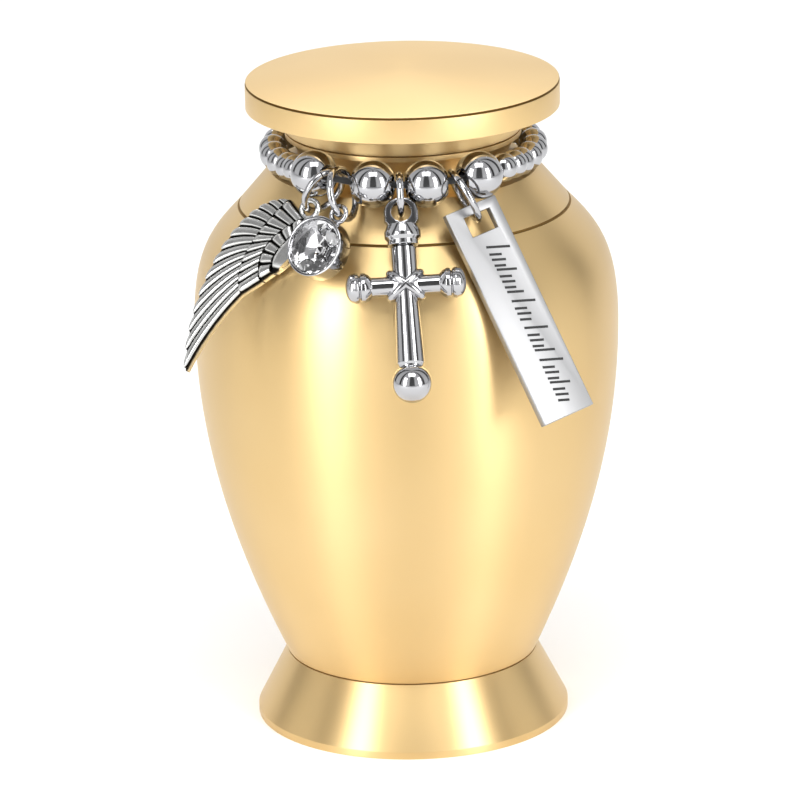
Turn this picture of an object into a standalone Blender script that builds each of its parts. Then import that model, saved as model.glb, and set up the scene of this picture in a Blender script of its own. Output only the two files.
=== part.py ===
"""A keepsake cremation urn of gold anodised aluminium, with a bead bracelet and four charms round its neck.

Metres, +Z up. The origin is on the urn's axis at the underside of its foot, and -Y is the front.
"""
import math

import bmesh
import bpy
from mathutils import Matrix, Vector

MM = 0.001
SEAT = 0.15 * MM            # air between turned pieces that seat on each other
GAP = 0.3 * MM              # air between a charm and what it leans on

# Foot
FOOT_RADIUS = 16.8 * MM
FOOT_HEIGHT = 7.2 * MM
FOOT_BAND = 0.8 * MM        # upright edge round the foot's underside
FOOT_BEVEL = 0.2 * MM

# Body
WAIST_RADIUS = 13.5 * MM    # where the body stands on its foot
BELLY_RADIUS = 22.6 * MM
BELLY_HEIGHT = 44.0 * MM
LINE_RADIUS = 17.7 * MM     # the line scribed round the shoulder
LINE_RISE = 12.8 * MM       # over the belly
LINE_HEIGHT = BELLY_HEIGHT + LINE_RISE
LINE_WIDTH = 0.35 * MM
LINE_DEPTH = 0.2 * MM
CREST_RADIUS = 14.2 * MM    # upper edge of the shoulder's cone
CREST_RISE = 4.1 * MM       # over the scribed line
CREST_HEIGHT = LINE_HEIGHT + CREST_RISE
LIP_RADIUS = 12.5 * MM
LIP_BAND = 0.5 * MM         # upright edge of the mouth's lip
NECK_RISE = 4.05 * MM       # of the mouth over the crest
MOUTH_HEIGHT = CREST_HEIGHT + NECK_RISE
NECK_RADIUS = 10.6 * MM     # that the cove under the lip bends towards
BORE_RADIUS = 9.2 * MM
WALL = 1.6 * MM
FLOOR = 2.0 * MM

# Lid
COLLAR_RADIUS = 13.0 * MM   # at the top of the collar, under the rim
COLLAR_HEIGHT = 2.4 * MM
RIM_RADIUS = 16.6 * MM
RIM_BAND = 2.5 * MM
RIM_BEVEL = 0.15 * MM
GROOVE_DEPTH = 0.25 * MM
GROOVE_WIDTH = 0.25 * MM
DOME_RISE = 1.2 * MM
PLUG_LENGTH = 4.0 * MM
PLUG_CLEARANCE = 0.3 * MM

# Bracelet
CORD_RADIUS = 0.35 * MM
LARGE_BEAD = 2.5 * MM       # radius
LARGE_LENGTH = 4.2 * MM     # along the cord, between the flattened ends
LARGE_BORE = 0.85 * MM      # radius
SMALL_BEAD = 1.5 * MM
SMALL_LENGTH = 2.6 * MM
SMALL_BORE = 0.55 * MM
BEAD_SPACE = 0.15 * MM      # air between neighbouring small beads
END_SPACE = 0.45 * MM       # air between a large bead and the small one next to it
CROSS_SPACE = 1.3 * MM      # between large beads 2 and 3, for the cross's jump ring
TAG_SPACE = 1.6 * MM        # between large beads 3 and 4, for the tag's
PAIR_SPACE = 2.7 * MM       # between large beads 1 and 2, for the wing's and the crystal's
CROSS_PLACE = -0.45 * MM    # of the cross's jump ring along the cord, from the front
TAG_ASIDE = 0.25 * MM       # of the tag's jump ring from the middle between its beads
WING_ASIDE = -1.0 * MM      # of the wing's and the crystal's from the middle between theirs
CRYSTAL_ASIDE = 0.45 * MM
BACK_INSET = 0.4 * MM       # of the cord behind the crest's edge, at the sides and the back
BACK_RISE = 1.85 * MM       # of the cord over the crest there
BEAD_INSET = 1.33 * MM      # how far in the large beads lie over the cone, behind the plane the charms lean on
FRONT_RISE = 0.876 * MM     # of the cord up the slope from the crest in front
SIDE_LIFT = 1.8 * MM        # the charms pull the middle down, so the cord climbs by this times sin squared
FRONT_ANGLE = math.radians(26)    # the cord keeps its front reach up to here
SIDE_ANGLE = math.radians(66)     # and has its back reach from here on

# Charms: each hangs from a jump ring and leans on the shoulder
LEAN = math.radians(28.5)
RING_WIRE = 0.36 * MM       # radius
RING_SLACK = 0.2 * MM       # air between a jump ring and the cord inside it

# Cross charm, measured from the middle of the cap's hole
CROSS_BACK = 1.55 * MM      # how far its arms and wrap reach behind its axis
CROSS_SPIN = math.radians(-2.6)
CROSS_SHIFT = 0.15 * MM     # hang point from the cord: along it, and below it
CROSS_DROP = 2.4 * MM
CAP_RADIUS = 1.88 * MM
CAP_TOP = 1.62 * MM
CAP_WAIST = -1.28 * MM
CAP_BOTTOM = -3.45 * MM
CAP_HOLE = 1.05 * MM        # radius
LUG_THICKNESS = 1.7 * MM
POST_RADIUS = 0.9 * MM      # the cross's post in the cap's socket
POST_LENGTH = 1.0 * MM
POST_CLEARANCE = 0.2 * MM
STUB_RADIUS = 1.3 * MM
ARM_LEVEL = -7.6 * MM
ARM_REACH = 6.2 * MM
ARM_RADIUS = 1.0 * MM
KNOB_RADIUS = 1.6 * MM
KNOB_LENGTH = 2.7 * MM
WRAP_WIDTH = 3.8 * MM
WRAP_HEIGHT = 3.0 * MM
WRAP_CORD = 0.42 * MM       # radius of the two crossed bands
SHAFT_TOP_RADIUS = 1.15 * MM
SHAFT_RADIUS = 1.45 * MM
BALL_RADIUS = 2.05 * MM
BALL_LEVEL = -17.8 * MM

# Bar tag, measured from the middle of its slot
TAG_FACING = math.radians(26)
TAG_SPIN = math.radians(-13.2)
TAG_SHIFT = 2.15 * MM
TAG_DROP = 4.5 * MM
TAG_WIDTH = 6.2 * MM
TAG_LENGTH = 23.9 * MM
TAG_THICKNESS = 0.9 * MM
TAG_EDGE = 0.12 * MM
TAG_RING_TWIST = math.radians(-20)
SLOT_WIDTH = 3.2 * MM
SLOT_HEIGHT = 2.2 * MM
SLOT_MARGIN = 1.0 * MM      # bar left above the slot
SLOT_ASIDE = 0.3 * MM
SLOT_CLEARANCE = 0.3 * MM   # between the slot's upper edge and the jump ring

# Wing charm, measured from the middle of its eyelet: x to the right, z up, as it hangs
WING_FACING = math.radians(-34)
WING_SHIFT = -3.1 * MM
WING_DROP = 3.4 * MM
WING_LENGTH = 19.3 * MM     # from the eyelet down to the lowest tip
WING_SWEEP = -0.05          # how far the flight feathers bow, of their length
WING_BACK = 0.6 * MM        # the flat back, behind the eyelet's middle plane
FEATHER_RELIEF = 0.55 * MM  # height of a flight feather's ridge in front of that plane
COVERT_RELIEF = 0.75 * MM
FEATHER_GROOVE = 0.4 * MM   # depth of the grooves between feathers
FLIGHT_FEATHERS = 14
OUTER_COVERTS = 10
INNER_COVERTS = 6
EYELET_RADIUS = 0.97 * MM   # of the eyelet's own ring, to the middle of its wire
EYELET_WIRE = 0.33 * MM

# Crystal charm, measured from the middle of its loop
CRYSTAL_SPIN = math.radians(12)
CRYSTAL_SHIFT = 1.1 * MM
CRYSTAL_DROP = 2.6 * MM
BEZEL_RADIUS = 3.2 * MM
BEZEL_DEPTH = 2.1 * MM
BEZEL_WALL = 0.3 * MM
BEZEL_FLOOR = 0.4 * MM
LOOP_RADIUS = 0.85 * MM
LOOP_WIRE = 0.26 * MM
STONE_CLEARANCE = 0.12 * MM
STONE_CROWN = 0.65 * MM
STONE_GIRDLE = 0.2 * MM
STONE_TABLE = 0.58          # of the stone's width

LATHE_STEPS = 32


def bezier(start, start_handle, end_handle, end, count):
    """Points along a cubic curve, both ends included."""
    points = []
    for i in range(count + 1):
        t = i / count
        weights = ((1 - t) ** 3, 3 * t * (1 - t) ** 2, 3 * t * t * (1 - t), t ** 3)
        points.append(tuple(sum(w * p[k] for w, p in zip(weights, (start, start_handle, end_handle, end)))
                            for k in range(2)))
    return points


def lower_wall():
    """The body's outer side from the belly down to the waist, as (radius, height)."""
    waist = (WAIST_RADIUS, FOOT_HEIGHT + SEAT)
    rise = BELLY_HEIGHT - waist[1]
    swell = BELLY_RADIUS - WAIST_RADIUS
    belly = (BELLY_RADIUS, BELLY_HEIGHT)
    return bezier(belly, (BELLY_RADIUS, BELLY_HEIGHT - 0.38 * rise),
                  (WAIST_RADIUS + 0.56 * swell, waist[1] + 0.3 * rise), waist, 7)


def upper_wall():
    """The body's outer side from the scribed line down to the belly."""
    drop = LINE_HEIGHT - BELLY_HEIGHT
    inset = BELLY_RADIUS - LINE_RADIUS
    return bezier((LINE_RADIUS, LINE_HEIGHT), (LINE_RADIUS + 0.56 * inset, LINE_HEIGHT - 0.226 * drop),
                  (BELLY_RADIUS, BELLY_HEIGHT + 0.625 * drop), (BELLY_RADIUS, BELLY_HEIGHT), 6)


def cove():
    """The neck's hollow from the lip down to the shoulder's crest, where the bracelet lies."""
    top = MOUTH_HEIGHT - LIP_BAND
    return bezier((LIP_RADIUS - 0.1 * MM, top), (NECK_RADIUS, top - 0.4 * (top - CREST_HEIGHT)),
                  (NECK_RADIUS, CREST_HEIGHT), (CREST_RADIUS, CREST_HEIGHT), 5)


def scribed_line():
    """The small notch of the scribed line, across the cone above it."""
    slope = math.atan2(LINE_HEIGHT - CREST_HEIGHT, LINE_RADIUS - CREST_RADIUS)
    along = (math.cos(slope), math.sin(slope))
    inward = (along[1], -along[0])
    upper = (LINE_RADIUS - LINE_WIDTH * along[0], LINE_HEIGHT - LINE_WIDTH * along[1])
    middle = tuple((a + b) / 2 + LINE_DEPTH * n for a, b, n in zip(upper, (LINE_RADIUS, LINE_HEIGHT), inward))
    return [upper, middle]


def outer_wall():
    """The body's whole outer side, top to bottom."""
    lip = [(LIP_RADIUS, MOUTH_HEIGHT), (LIP_RADIUS, MOUTH_HEIGHT - LIP_BAND)]
    return lip + cove()[1:] + scribed_line() + upper_wall() + lower_wall()[1:]


def inner_wall():
    """The chamber's side from its floor up to the mouth, one wall inside the outer side."""
    sides = upper_wall() + lower_wall()[1:]
    points = []
    for i, (radius, height) in enumerate(sides):
        before, after = sides[max(i - 1, 0)], sides[min(i + 1, len(sides) - 1)]
        run = Vector((after[0] - before[0], after[1] - before[1])).normalized()
        points.append((radius + WALL * run.y, height - WALL * run.x))
    floor = FOOT_HEIGHT + SEAT + FLOOR
    above = [point for point in points[::2] if point[1] > floor + WALL]
    corner = min(above, key=lambda point: point[1])[0] - WALL
    return [(corner, floor)] + above[::-1] + [(BORE_RADIUS, CREST_HEIGHT - WALL), (BORE_RADIUS, MOUTH_HEIGHT)]


def material(name, color, metallic, roughness, alpha=1.0):
    """A plain Principled material."""
    made = bpy.data.materials.new(name)
    made.use_nodes = True
    shader = made.node_tree.nodes["Principled BSDF"]
    shader.inputs["Base Color"].default_value = (*color, 1.0)
    shader.inputs["Metallic"].default_value = metallic
    shader.inputs["Roughness"].default_value = roughness
    shader.inputs["Alpha"].default_value = alpha
    return made


def finish_piece(obj, look, smooth_degrees=35):
    """Gives a piece its material and its shading."""
    obj.data.materials.clear()
    obj.data.materials.append(look)
    obj.data.shade_smooth()
    obj.data.set_sharp_from_angle(angle=math.radians(smooth_degrees))
    return obj


def mesh_object(name, bm, collection):
    """A new object from a bmesh, which is freed."""
    bmesh.ops.recalc_face_normals(bm, faces=bm.faces)
    mesh = bpy.data.meshes.new(name)
    bm.to_mesh(mesh)
    bm.free()
    obj = bpy.data.objects.new(name, mesh)
    collection.objects.link(obj)
    return obj


def lathe(name, profile, look, collection, steps=LATHE_STEPS):
    """A turned piece: a profile of (radius, height) points, outer side top to bottom, round the Z axis."""
    bm = bmesh.new()
    points = [bm.verts.new((radius, 0, height)) for radius, height in profile]
    for a, b in zip(points, points[1:]):
        bm.edges.new((a, b))
    mesh = bpy.data.meshes.new(name)
    bm.to_mesh(mesh)
    bm.free()
    obj = bpy.data.objects.new(name, mesh)
    collection.objects.link(obj)
    screw = obj.modifiers.new("turn", "SCREW")
    screw.axis = "Z"
    screw.angle = math.tau
    screw.steps = steps
    screw.render_steps = steps
    screw.use_merge_vertices = True
    screw.merge_threshold = 0.00001
    screw.use_smooth_shade = True
    obj.data.materials.append(look)
    return obj


def make_body(look, collection):
    """The hollow vessel, from the chamber's floor up, over the lip and down to its underside."""
    floor = FOOT_HEIGHT + SEAT + FLOOR
    profile = [(0, floor)] + inner_wall() + outer_wall() + [(0, FOOT_HEIGHT + SEAT)]
    return lathe("urn_body", profile, look, collection)


def make_foot(look, collection):
    """The flared foot, flush with the body at their seam."""
    profile = [(0, FOOT_HEIGHT), (WAIST_RADIUS - FOOT_BEVEL, FOOT_HEIGHT), (WAIST_RADIUS, FOOT_HEIGHT - FOOT_BEVEL),
               (FOOT_RADIUS, FOOT_BAND), (FOOT_RADIUS, FOOT_BEVEL), (FOOT_RADIUS - FOOT_BEVEL, 0), (0, 0)]
    return lathe("foot", profile, look, collection)


def dome(top, radius, count=4):
    """The lid's shallow dome from its middle out to its edge."""
    points = []
    for i in range(count + 1):
        share = i / count
        points.append((radius * share, top - DOME_RISE * share ** 2))
    return points


def make_lid(look, collection):
    """Dome, groove, rim, collar and the plug that goes into the mouth."""
    seat = MOUTH_HEIGHT + SEAT
    rim_low = seat + COLLAR_HEIGHT
    rim_top = rim_low + RIM_BAND
    groove_top = rim_top + GROOVE_WIDTH
    plug = BORE_RADIUS - PLUG_CLEARANCE
    profile = dome(groove_top + DOME_RISE, RIM_RADIUS)
    profile += [(RIM_RADIUS - GROOVE_DEPTH, rim_top + GROOVE_WIDTH / 2), (RIM_RADIUS, rim_top),
                (RIM_RADIUS, rim_low + RIM_BEVEL), (RIM_RADIUS - RIM_BEVEL, rim_low), (COLLAR_RADIUS, rim_low),
                (COLLAR_RADIUS - 0.4 * MM, seat + COLLAR_HEIGHT * 0.6), (LIP_RADIUS, seat), (plug, seat),
                (plug, seat - PLUG_LENGTH), (0, seat - PLUG_LENGTH)]
    return lathe("lid", profile, look, collection)


def shoulder():
    """How far out the shoulder reaches along the direction in which the charms face."""
    return max(radius * math.cos(LEAN) + height * math.sin(LEAN) for radius, height in upper_wall())


def front_place():
    """The cord's reach and level in front, where the large beads lie on the shoulder."""
    out = shoulder() + LARGE_BEAD - BEAD_INSET
    up = CREST_HEIGHT * math.cos(LEAN) - CREST_RADIUS * math.sin(LEAN) + FRONT_RISE
    return out * math.cos(LEAN) - up * math.sin(LEAN), out * math.sin(LEAN) + up * math.cos(LEAN)


def cord_point(angle):
    """A point of the bracelet's cord, at an angle from the front towards +X."""
    front_reach, front_level = FRONT_PLACE
    back_reach = CREST_RADIUS - BACK_INSET
    back_level = CREST_HEIGHT + BACK_RISE
    turn = abs(math.remainder(angle, math.tau))
    share = min(max((SIDE_ANGLE - turn) / (SIDE_ANGLE - FRONT_ANGLE), 0), 1)
    share = share * share * (3 - 2 * share)
    reach = back_reach + (front_reach - back_reach) * share
    level = back_level + (front_level + SIDE_LIFT * math.sin(turn) ** 2 - back_level) * share
    return Vector((reach * math.sin(angle), -reach * math.cos(angle), level))


FRONT_PLACE = front_place()
CORD_STEPS = 2880
CORD_TABLE = [0.0]
for step in range(CORD_STEPS):
    CORD_TABLE.append(CORD_TABLE[-1] + (cord_point(math.tau * (step + 1) / CORD_STEPS)
                                        - cord_point(math.tau * step / CORD_STEPS)).length)
CORD_LENGTH = CORD_TABLE[-1]


def cord_angle(place):
    """The angle of the point that lies this far along the cord from the front."""
    place %= CORD_LENGTH
    low, high = 0, CORD_STEPS
    while high - low > 1:
        middle = (low + high) // 2
        if CORD_TABLE[middle] <= place:
            low = middle
        else:
            high = middle
    share = (place - CORD_TABLE[low]) / (CORD_TABLE[high] - CORD_TABLE[low])
    return math.tau * (low + share) / CORD_STEPS


def on_cord(place):
    """The point at this place along the cord, and the cord's direction there."""
    step = math.tau / CORD_STEPS
    angle = cord_angle(place)
    return cord_point(angle), (cord_point(angle + step) - cord_point(angle - step)).normalized()


def bead_mesh(name, radius, length, bore, look, arc_steps, turn_steps):
    """A drilled ball with flattened ends, its bore along Z."""
    half = length / 2
    widest = math.asin(half / radius)
    arc = []
    for i in range(arc_steps + 1):
        angle = widest * (1 - 2 * i / arc_steps)
        arc.append((radius * math.cos(angle), radius * math.sin(angle)))
    profile = [(bore, half)] + arc + [(bore, -half)]
    bm = bmesh.new()
    loops = []
    for turn in range(turn_steps):
        angle = math.tau * turn / turn_steps
        loops.append([bm.verts.new((r * math.cos(angle), r * math.sin(angle), h)) for r, h in profile])
    for turn in range(turn_steps):
        here, there = loops[turn], loops[(turn + 1) % turn_steps]
        for i in range(len(profile)):
            j = (i + 1) % len(profile)
            bm.faces.new((here[i], here[j], there[j], there[i]))
    bmesh.ops.recalc_face_normals(bm, faces=bm.faces)
    mesh = bpy.data.meshes.new(name)
    bm.to_mesh(mesh)
    bm.free()
    mesh.materials.append(look)
    mesh.shade_smooth()
    mesh.set_sharp_from_angle(angle=math.radians(40))
    return mesh


def place_bead(name, mesh, place, collection):
    """One bead on the cord."""
    point, along = on_cord(place)
    obj = bpy.data.objects.new(name, mesh)
    obj.matrix_world = Matrix.Translation(point) @ along.to_track_quat("Z", "Y").to_matrix().to_4x4()
    collection.objects.link(obj)
    return obj


def large_places():
    """Where the four large beads sit along the cord, from left to right."""
    second = CROSS_PLACE - (LARGE_LENGTH + CROSS_SPACE) / 2
    third = CROSS_PLACE + (LARGE_LENGTH + CROSS_SPACE) / 2
    return [second - LARGE_LENGTH - PAIR_SPACE, second, third, third + LARGE_LENGTH + TAG_SPACE]


def make_beads(look, collection):
    """Four large beads in front, and as many small ones as fill the rest of the cord."""
    large = bead_mesh("large_bead", LARGE_BEAD, LARGE_LENGTH, LARGE_BORE, look, 6, 14)
    places = large_places()
    for number, place in enumerate(places, 1):
        place_bead(f"large_bead_{number}", large, place, collection)
    start = places[-1] + LARGE_LENGTH / 2 + END_SPACE
    stretch = CORD_LENGTH + places[0] - LARGE_LENGTH / 2 - END_SPACE - start
    count = int((stretch + BEAD_SPACE) / (SMALL_LENGTH + BEAD_SPACE))
    pitch = (stretch - SMALL_LENGTH) / (count - 1)
    small = bead_mesh("small_bead", SMALL_BEAD, SMALL_LENGTH, SMALL_BORE, look, 3, 7)
    for number in range(count):
        place_bead(f"small_bead_{number + 1:02d}", small, start + SMALL_LENGTH / 2 + pitch * number, collection)


def make_cord(look, collection, points=48):
    """The elastic cord, a closed ring through every bead."""
    curve = bpy.data.curves.new("bracelet_cord", "CURVE")
    curve.dimensions = "3D"
    curve.bevel_depth = CORD_RADIUS
    curve.bevel_resolution = 0
    spline = curve.splines.new("POLY")
    spline.points.add(points - 1)
    for i, point in enumerate(spline.points):
        point.co = (*cord_point(math.tau * i / points), 1)
    spline.use_cyclic_u = True
    curve.materials.append(look)
    obj = bpy.data.objects.new("bracelet_cord", curve)
    collection.objects.link(obj)
    return obj


def ring_places():
    """The middles between the large beads where jump rings hang: the cross's, the tag's and the pair's."""
    places = large_places()
    return CROSS_PLACE, (places[2] + places[3]) / 2, (places[0] + places[1]) / 2


def lean_frame(facing):
    """Right, up and front of a charm that faces this way from the axis and leans out at its foot."""
    front = Vector((math.sin(facing) * math.cos(LEAN), -math.cos(facing) * math.cos(LEAN), math.sin(LEAN)))
    right = Vector((math.cos(facing), math.sin(facing), 0))
    return right, front.cross(right), front


def hang_point(place, shift, drop, facing, back):
    """Where a charm hangs: along the cord and below it, and so far out that its back clears the shoulder."""
    point, along = on_cord(place)
    outward = Vector((along.y, -along.x, 0)).normalized()
    start = point + shift * along - Vector((0, 0, drop))
    front = lean_frame(facing)[2]
    reach = (shoulder() + GAP + back - start.dot(front)) / outward.dot(front)
    return start + reach * outward


def charm_matrix(hang, facing, spin):
    """A charm's own axes in the world: x to its right, z up along it, -y to its front."""
    right, up, front = lean_frame(facing)
    axes = Matrix((right, -front, up)).transposed().to_4x4()
    return Matrix.Translation(hang) @ axes @ Matrix.Rotation(spin, 4, "Y")


def make_ring(name, place, hang, facing, look, collection, twist=0.0):
    """A jump ring, as large as it needs to be to go round the cord and through a charm's hole."""
    point = on_cord(place)[0]
    toward = (point - hang).normalized()
    radius = ((point - hang).length + RING_WIRE + CORD_RADIUS + RING_SLACK) / 2
    axis = Matrix.Rotation(twist, 3, toward) @ toward.cross(lean_frame(facing)[2]).normalized()
    bpy.ops.mesh.primitive_torus_add(major_segments=16, minor_segments=6, major_radius=radius,
                                     minor_radius=RING_WIRE)
    obj = bpy.context.object
    obj.name = obj.data.name = name
    obj.matrix_world = Matrix.Translation(hang + radius * toward) @ axis.to_track_quat("Z", "Y").to_matrix().to_4x4()
    return adopt(obj, look, collection)


def adopt(obj, look, collection):
    """Moves a new primitive into the part's collection and finishes it."""
    for holder in list(obj.users_collection):
        holder.objects.unlink(obj)
    collection.objects.link(obj)
    return finish_piece(obj, look)


def cutter(obj, cutters):
    """Makes an object a hidden tool of a Boolean."""
    for holder in list(obj.users_collection):
        holder.objects.unlink(obj)
    cutters.objects.link(obj)
    obj.hide_render = True
    obj.display_type = "WIRE"
    return obj


def boolean(obj, tool, operation):
    """Cuts or joins a piece with a hidden tool."""
    modifier = obj.modifiers.new(tool.name, "BOOLEAN")
    modifier.operation = operation
    modifier.object = tool
    modifier.solver = "EXACT"


def box_tool(name, size, matrix, cutters):
    """A box for a Boolean, of a full size, round a matrix's origin."""
    bm = bmesh.new()
    bmesh.ops.create_cube(bm, size=1)
    bmesh.ops.scale(bm, vec=size, verts=bm.verts)
    obj = mesh_object(name, bm, cutters)
    obj.matrix_world = matrix
    return cutter(obj, cutters)


def make_cap(matrix, look, collection, cutters):
    """The screw cap that the cross hangs from: a turned piece with a flat drilled lug and a socket below."""
    ridge = (CAP_WAIST + CAP_BOTTOM) / 2
    neck = CAP_RADIUS * 0.84
    socket = POST_RADIUS + POST_CLEARANCE
    profile = [(0, CAP_TOP), (CAP_RADIUS * 0.5, CAP_TOP * 0.9), (CAP_RADIUS * 0.85, CAP_TOP * 0.55),
               (CAP_RADIUS * 0.97, 0), (CAP_RADIUS * 0.97, CAP_WAIST * 0.7), (neck, CAP_WAIST),
               (CAP_RADIUS, ridge * 0.86), (CAP_RADIUS, ridge * 1.1), (neck, ridge * 1.25), (neck, CAP_BOTTOM),
               (socket, CAP_BOTTOM), (socket, CAP_BOTTOM + POST_LENGTH + POST_CLEARANCE),
               (0, CAP_BOTTOM + POST_LENGTH + POST_CLEARANCE)]
    cap = lathe("cross_cap", profile, look, collection, steps=16)
    cap.matrix_world = matrix
    height = CAP_TOP - CAP_WAIST
    for side in (-1, 1):
        middle = Vector((0, side * (LUG_THICKNESS / 2 + CAP_RADIUS), CAP_WAIST + height))
        boolean(cap, box_tool(f"lug_flat_{side}", (4 * CAP_RADIUS, 2 * CAP_RADIUS, 2 * height),
                              matrix @ Matrix.Translation(middle), cutters), "DIFFERENCE")
    bm = bmesh.new()
    bmesh.ops.create_cone(bm, cap_ends=True, segments=16, radius1=CAP_HOLE, radius2=CAP_HOLE, depth=4 * CAP_RADIUS)
    drill = mesh_object("cap_drill", bm, cutters)
    drill.matrix_world = matrix @ Matrix.Rotation(math.pi / 2, 4, "X")
    boolean(cap, cutter(drill, cutters), "DIFFERENCE")
    return cap


def knob_profile():
    """One end of the cross's arms, from its tip inwards, as (radius, distance from the middle)."""
    tip = ARM_REACH
    groove = tip - KNOB_LENGTH * 0.55
    return [(0, tip), (KNOB_RADIUS * 0.6, tip - KNOB_LENGTH * 0.06), (KNOB_RADIUS * 0.95, tip - KNOB_LENGTH * 0.22),
            (KNOB_RADIUS, tip - KNOB_LENGTH * 0.38), (KNOB_RADIUS * 0.94, groove + 0.1 * MM),
            (KNOB_RADIUS * 0.8, groove), (KNOB_RADIUS * 0.94, groove - 0.1 * MM),
            (KNOB_RADIUS * 0.96, tip - KNOB_LENGTH * 0.75), (ARM_RADIUS, tip - KNOB_LENGTH)]


def make_cross(matrix, look, collection, cutters):
    """The cross: a turned stem with its ball, turned arms with knobs, and two bands crossed over the middle."""
    ball = [(BALL_RADIUS * math.cos(a), BALL_LEVEL + BALL_RADIUS * math.sin(a))
            for a in (math.radians(45 - 22.5 * i) for i in range(6))]
    top = CAP_BOTTOM - SEAT
    profile = [(0, top + POST_LENGTH), (POST_RADIUS, top + POST_LENGTH), (POST_RADIUS, top), (STUB_RADIUS, top),
               (STUB_RADIUS, top * 0.4 + ARM_LEVEL * 0.6), (SHAFT_TOP_RADIUS, ARM_LEVEL),
               (SHAFT_RADIUS, BALL_LEVEL + BALL_RADIUS)] + ball + [(0, BALL_LEVEL - BALL_RADIUS)]
    cross = lathe("cross", profile, look, collection, steps=12)
    cross.matrix_world = matrix
    half = knob_profile()
    arms_profile = half + [(radius, -height) for radius, height in half[::-1]]
    arms = lathe("cross_arms", arms_profile, look, cutters, steps=10)
    middle = matrix @ Matrix.Translation((0, 0, ARM_LEVEL))
    arms.matrix_world = middle @ Matrix.Rotation(math.pi / 2, 4, "Y")
    boolean(cross, cutter(arms, cutters), "UNION")
    bm = bmesh.new()
    bmesh.ops.create_uvsphere(bm, u_segments=12, v_segments=8, radius=1)
    bmesh.ops.scale(bm, vec=(WRAP_WIDTH * 0.55, CROSS_BACK - WRAP_CORD * 0.8, WRAP_HEIGHT * 0.59), verts=bm.verts)
    hub = mesh_object("cross_hub", bm, cutters)
    hub.matrix_world = middle
    boolean(cross, cutter(hub, cutters), "UNION")
    for side in (-1, 1):
        boolean(cross, make_band(side, middle, cutters), "UNION")
    return cross


def make_band(side, middle, cutters):
    """One of the two bands that cross over the middle of the cross, an oval loop of half-round wire."""
    slope = math.atan2(WRAP_HEIGHT, WRAP_WIDTH)
    reach = math.hypot(WRAP_WIDTH, WRAP_HEIGHT) / 2 - WRAP_CORD
    depth = CROSS_BACK - WRAP_CORD
    curve = bpy.data.curves.new("cross_band", "CURVE")
    curve.dimensions = "3D"
    curve.bevel_depth = WRAP_CORD
    curve.bevel_resolution = 1
    spline = curve.splines.new("POLY")
    steps = 12
    spline.points.add(steps - 1)
    for i, point in enumerate(spline.points):
        angle = math.tau * (i + 0.5) / steps
        across = reach * math.cos(angle)
        point.co = (across * math.cos(slope), depth * math.sin(angle), side * across * math.sin(slope), 1)
    spline.use_cyclic_u = True
    guide = bpy.data.objects.new("cross_band", curve)
    cutters.objects.link(guide)
    guide.matrix_world = middle
    bpy.context.view_layer.update()
    depsgraph = bpy.context.evaluated_depsgraph_get()
    mesh = bpy.data.meshes.new_from_object(guide.evaluated_get(depsgraph))
    band = bpy.data.objects.new(f"cross_band_{side}", mesh)
    cutters.objects.link(band)
    band.matrix_world = guide.matrix_world.copy()
    bpy.data.objects.remove(guide)
    return cutter(band, cutters)


def make_tag(matrix, look, collection, cutters):
    """The flat steel bar with a rectangular slot near its top."""
    top = SLOT_HEIGHT / 2 + SLOT_MARGIN
    bm = bmesh.new()
    bmesh.ops.create_cube(bm, size=1)
    bmesh.ops.scale(bm, vec=(TAG_WIDTH, TAG_THICKNESS, TAG_LENGTH), verts=bm.verts)
    bmesh.ops.translate(bm, vec=(-SLOT_ASIDE, 0, top - TAG_LENGTH / 2), verts=bm.verts)
    tag = mesh_object("bar_tag", bm, collection)
    tag.matrix_world = matrix
    tag.data.materials.append(look)
    edge = tag.modifiers.new("edge", "BEVEL")
    edge.width = TAG_EDGE
    edge.segments = 1
    slot = box_tool("tag_slot", (SLOT_WIDTH, 4 * TAG_THICKNESS, SLOT_HEIGHT), matrix, cutters)
    boolean(tag, slot, "DIFFERENCE")
    return tag


def wing_line(start, start_handle, end_handle, end):
    """A curved line of the wing, from four points on a drawing of it, as a function of the share along it."""
    def at(share):
        t = share
        weights = ((1 - t) ** 3, 3 * t * (1 - t) ** 2, 3 * t * t * (1 - t), t ** 3)
        points = (start, start_handle, end_handle, end)
        return Vector([sum(w * p[k] for w, p in zip(weights, points)) * WING_LENGTH / DRAWN_LENGTH for k in range(2)])
    return at


DRAWN_LENGTH = 19.3
TIP_LINE = wing_line((-2.9, 0.6), (-8.6, 0.6), (-12.6, -10.5), (-9.9, -19.3))
ROOT_LINE = wing_line((-2.6, 0.65), (-4.9, -2.2), (-7.7, -6.9), (-5.5, -9.9))
COVERT_LINE = wing_line((-0.25, -1.1), (-2.6, -2.6), (-5.3, -4.9), (-3.5, -8.3))
INNER_LINE = wing_line((-0.1, -2.2), (-1.6, -3.7), (-3.1, -5.2), (-2.45, -7.3))
LOBE_LINE = wing_line((0.35, -2.5), (0.6, -3.7), (0.0, -5.3), (-2.1, -7.15))


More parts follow.
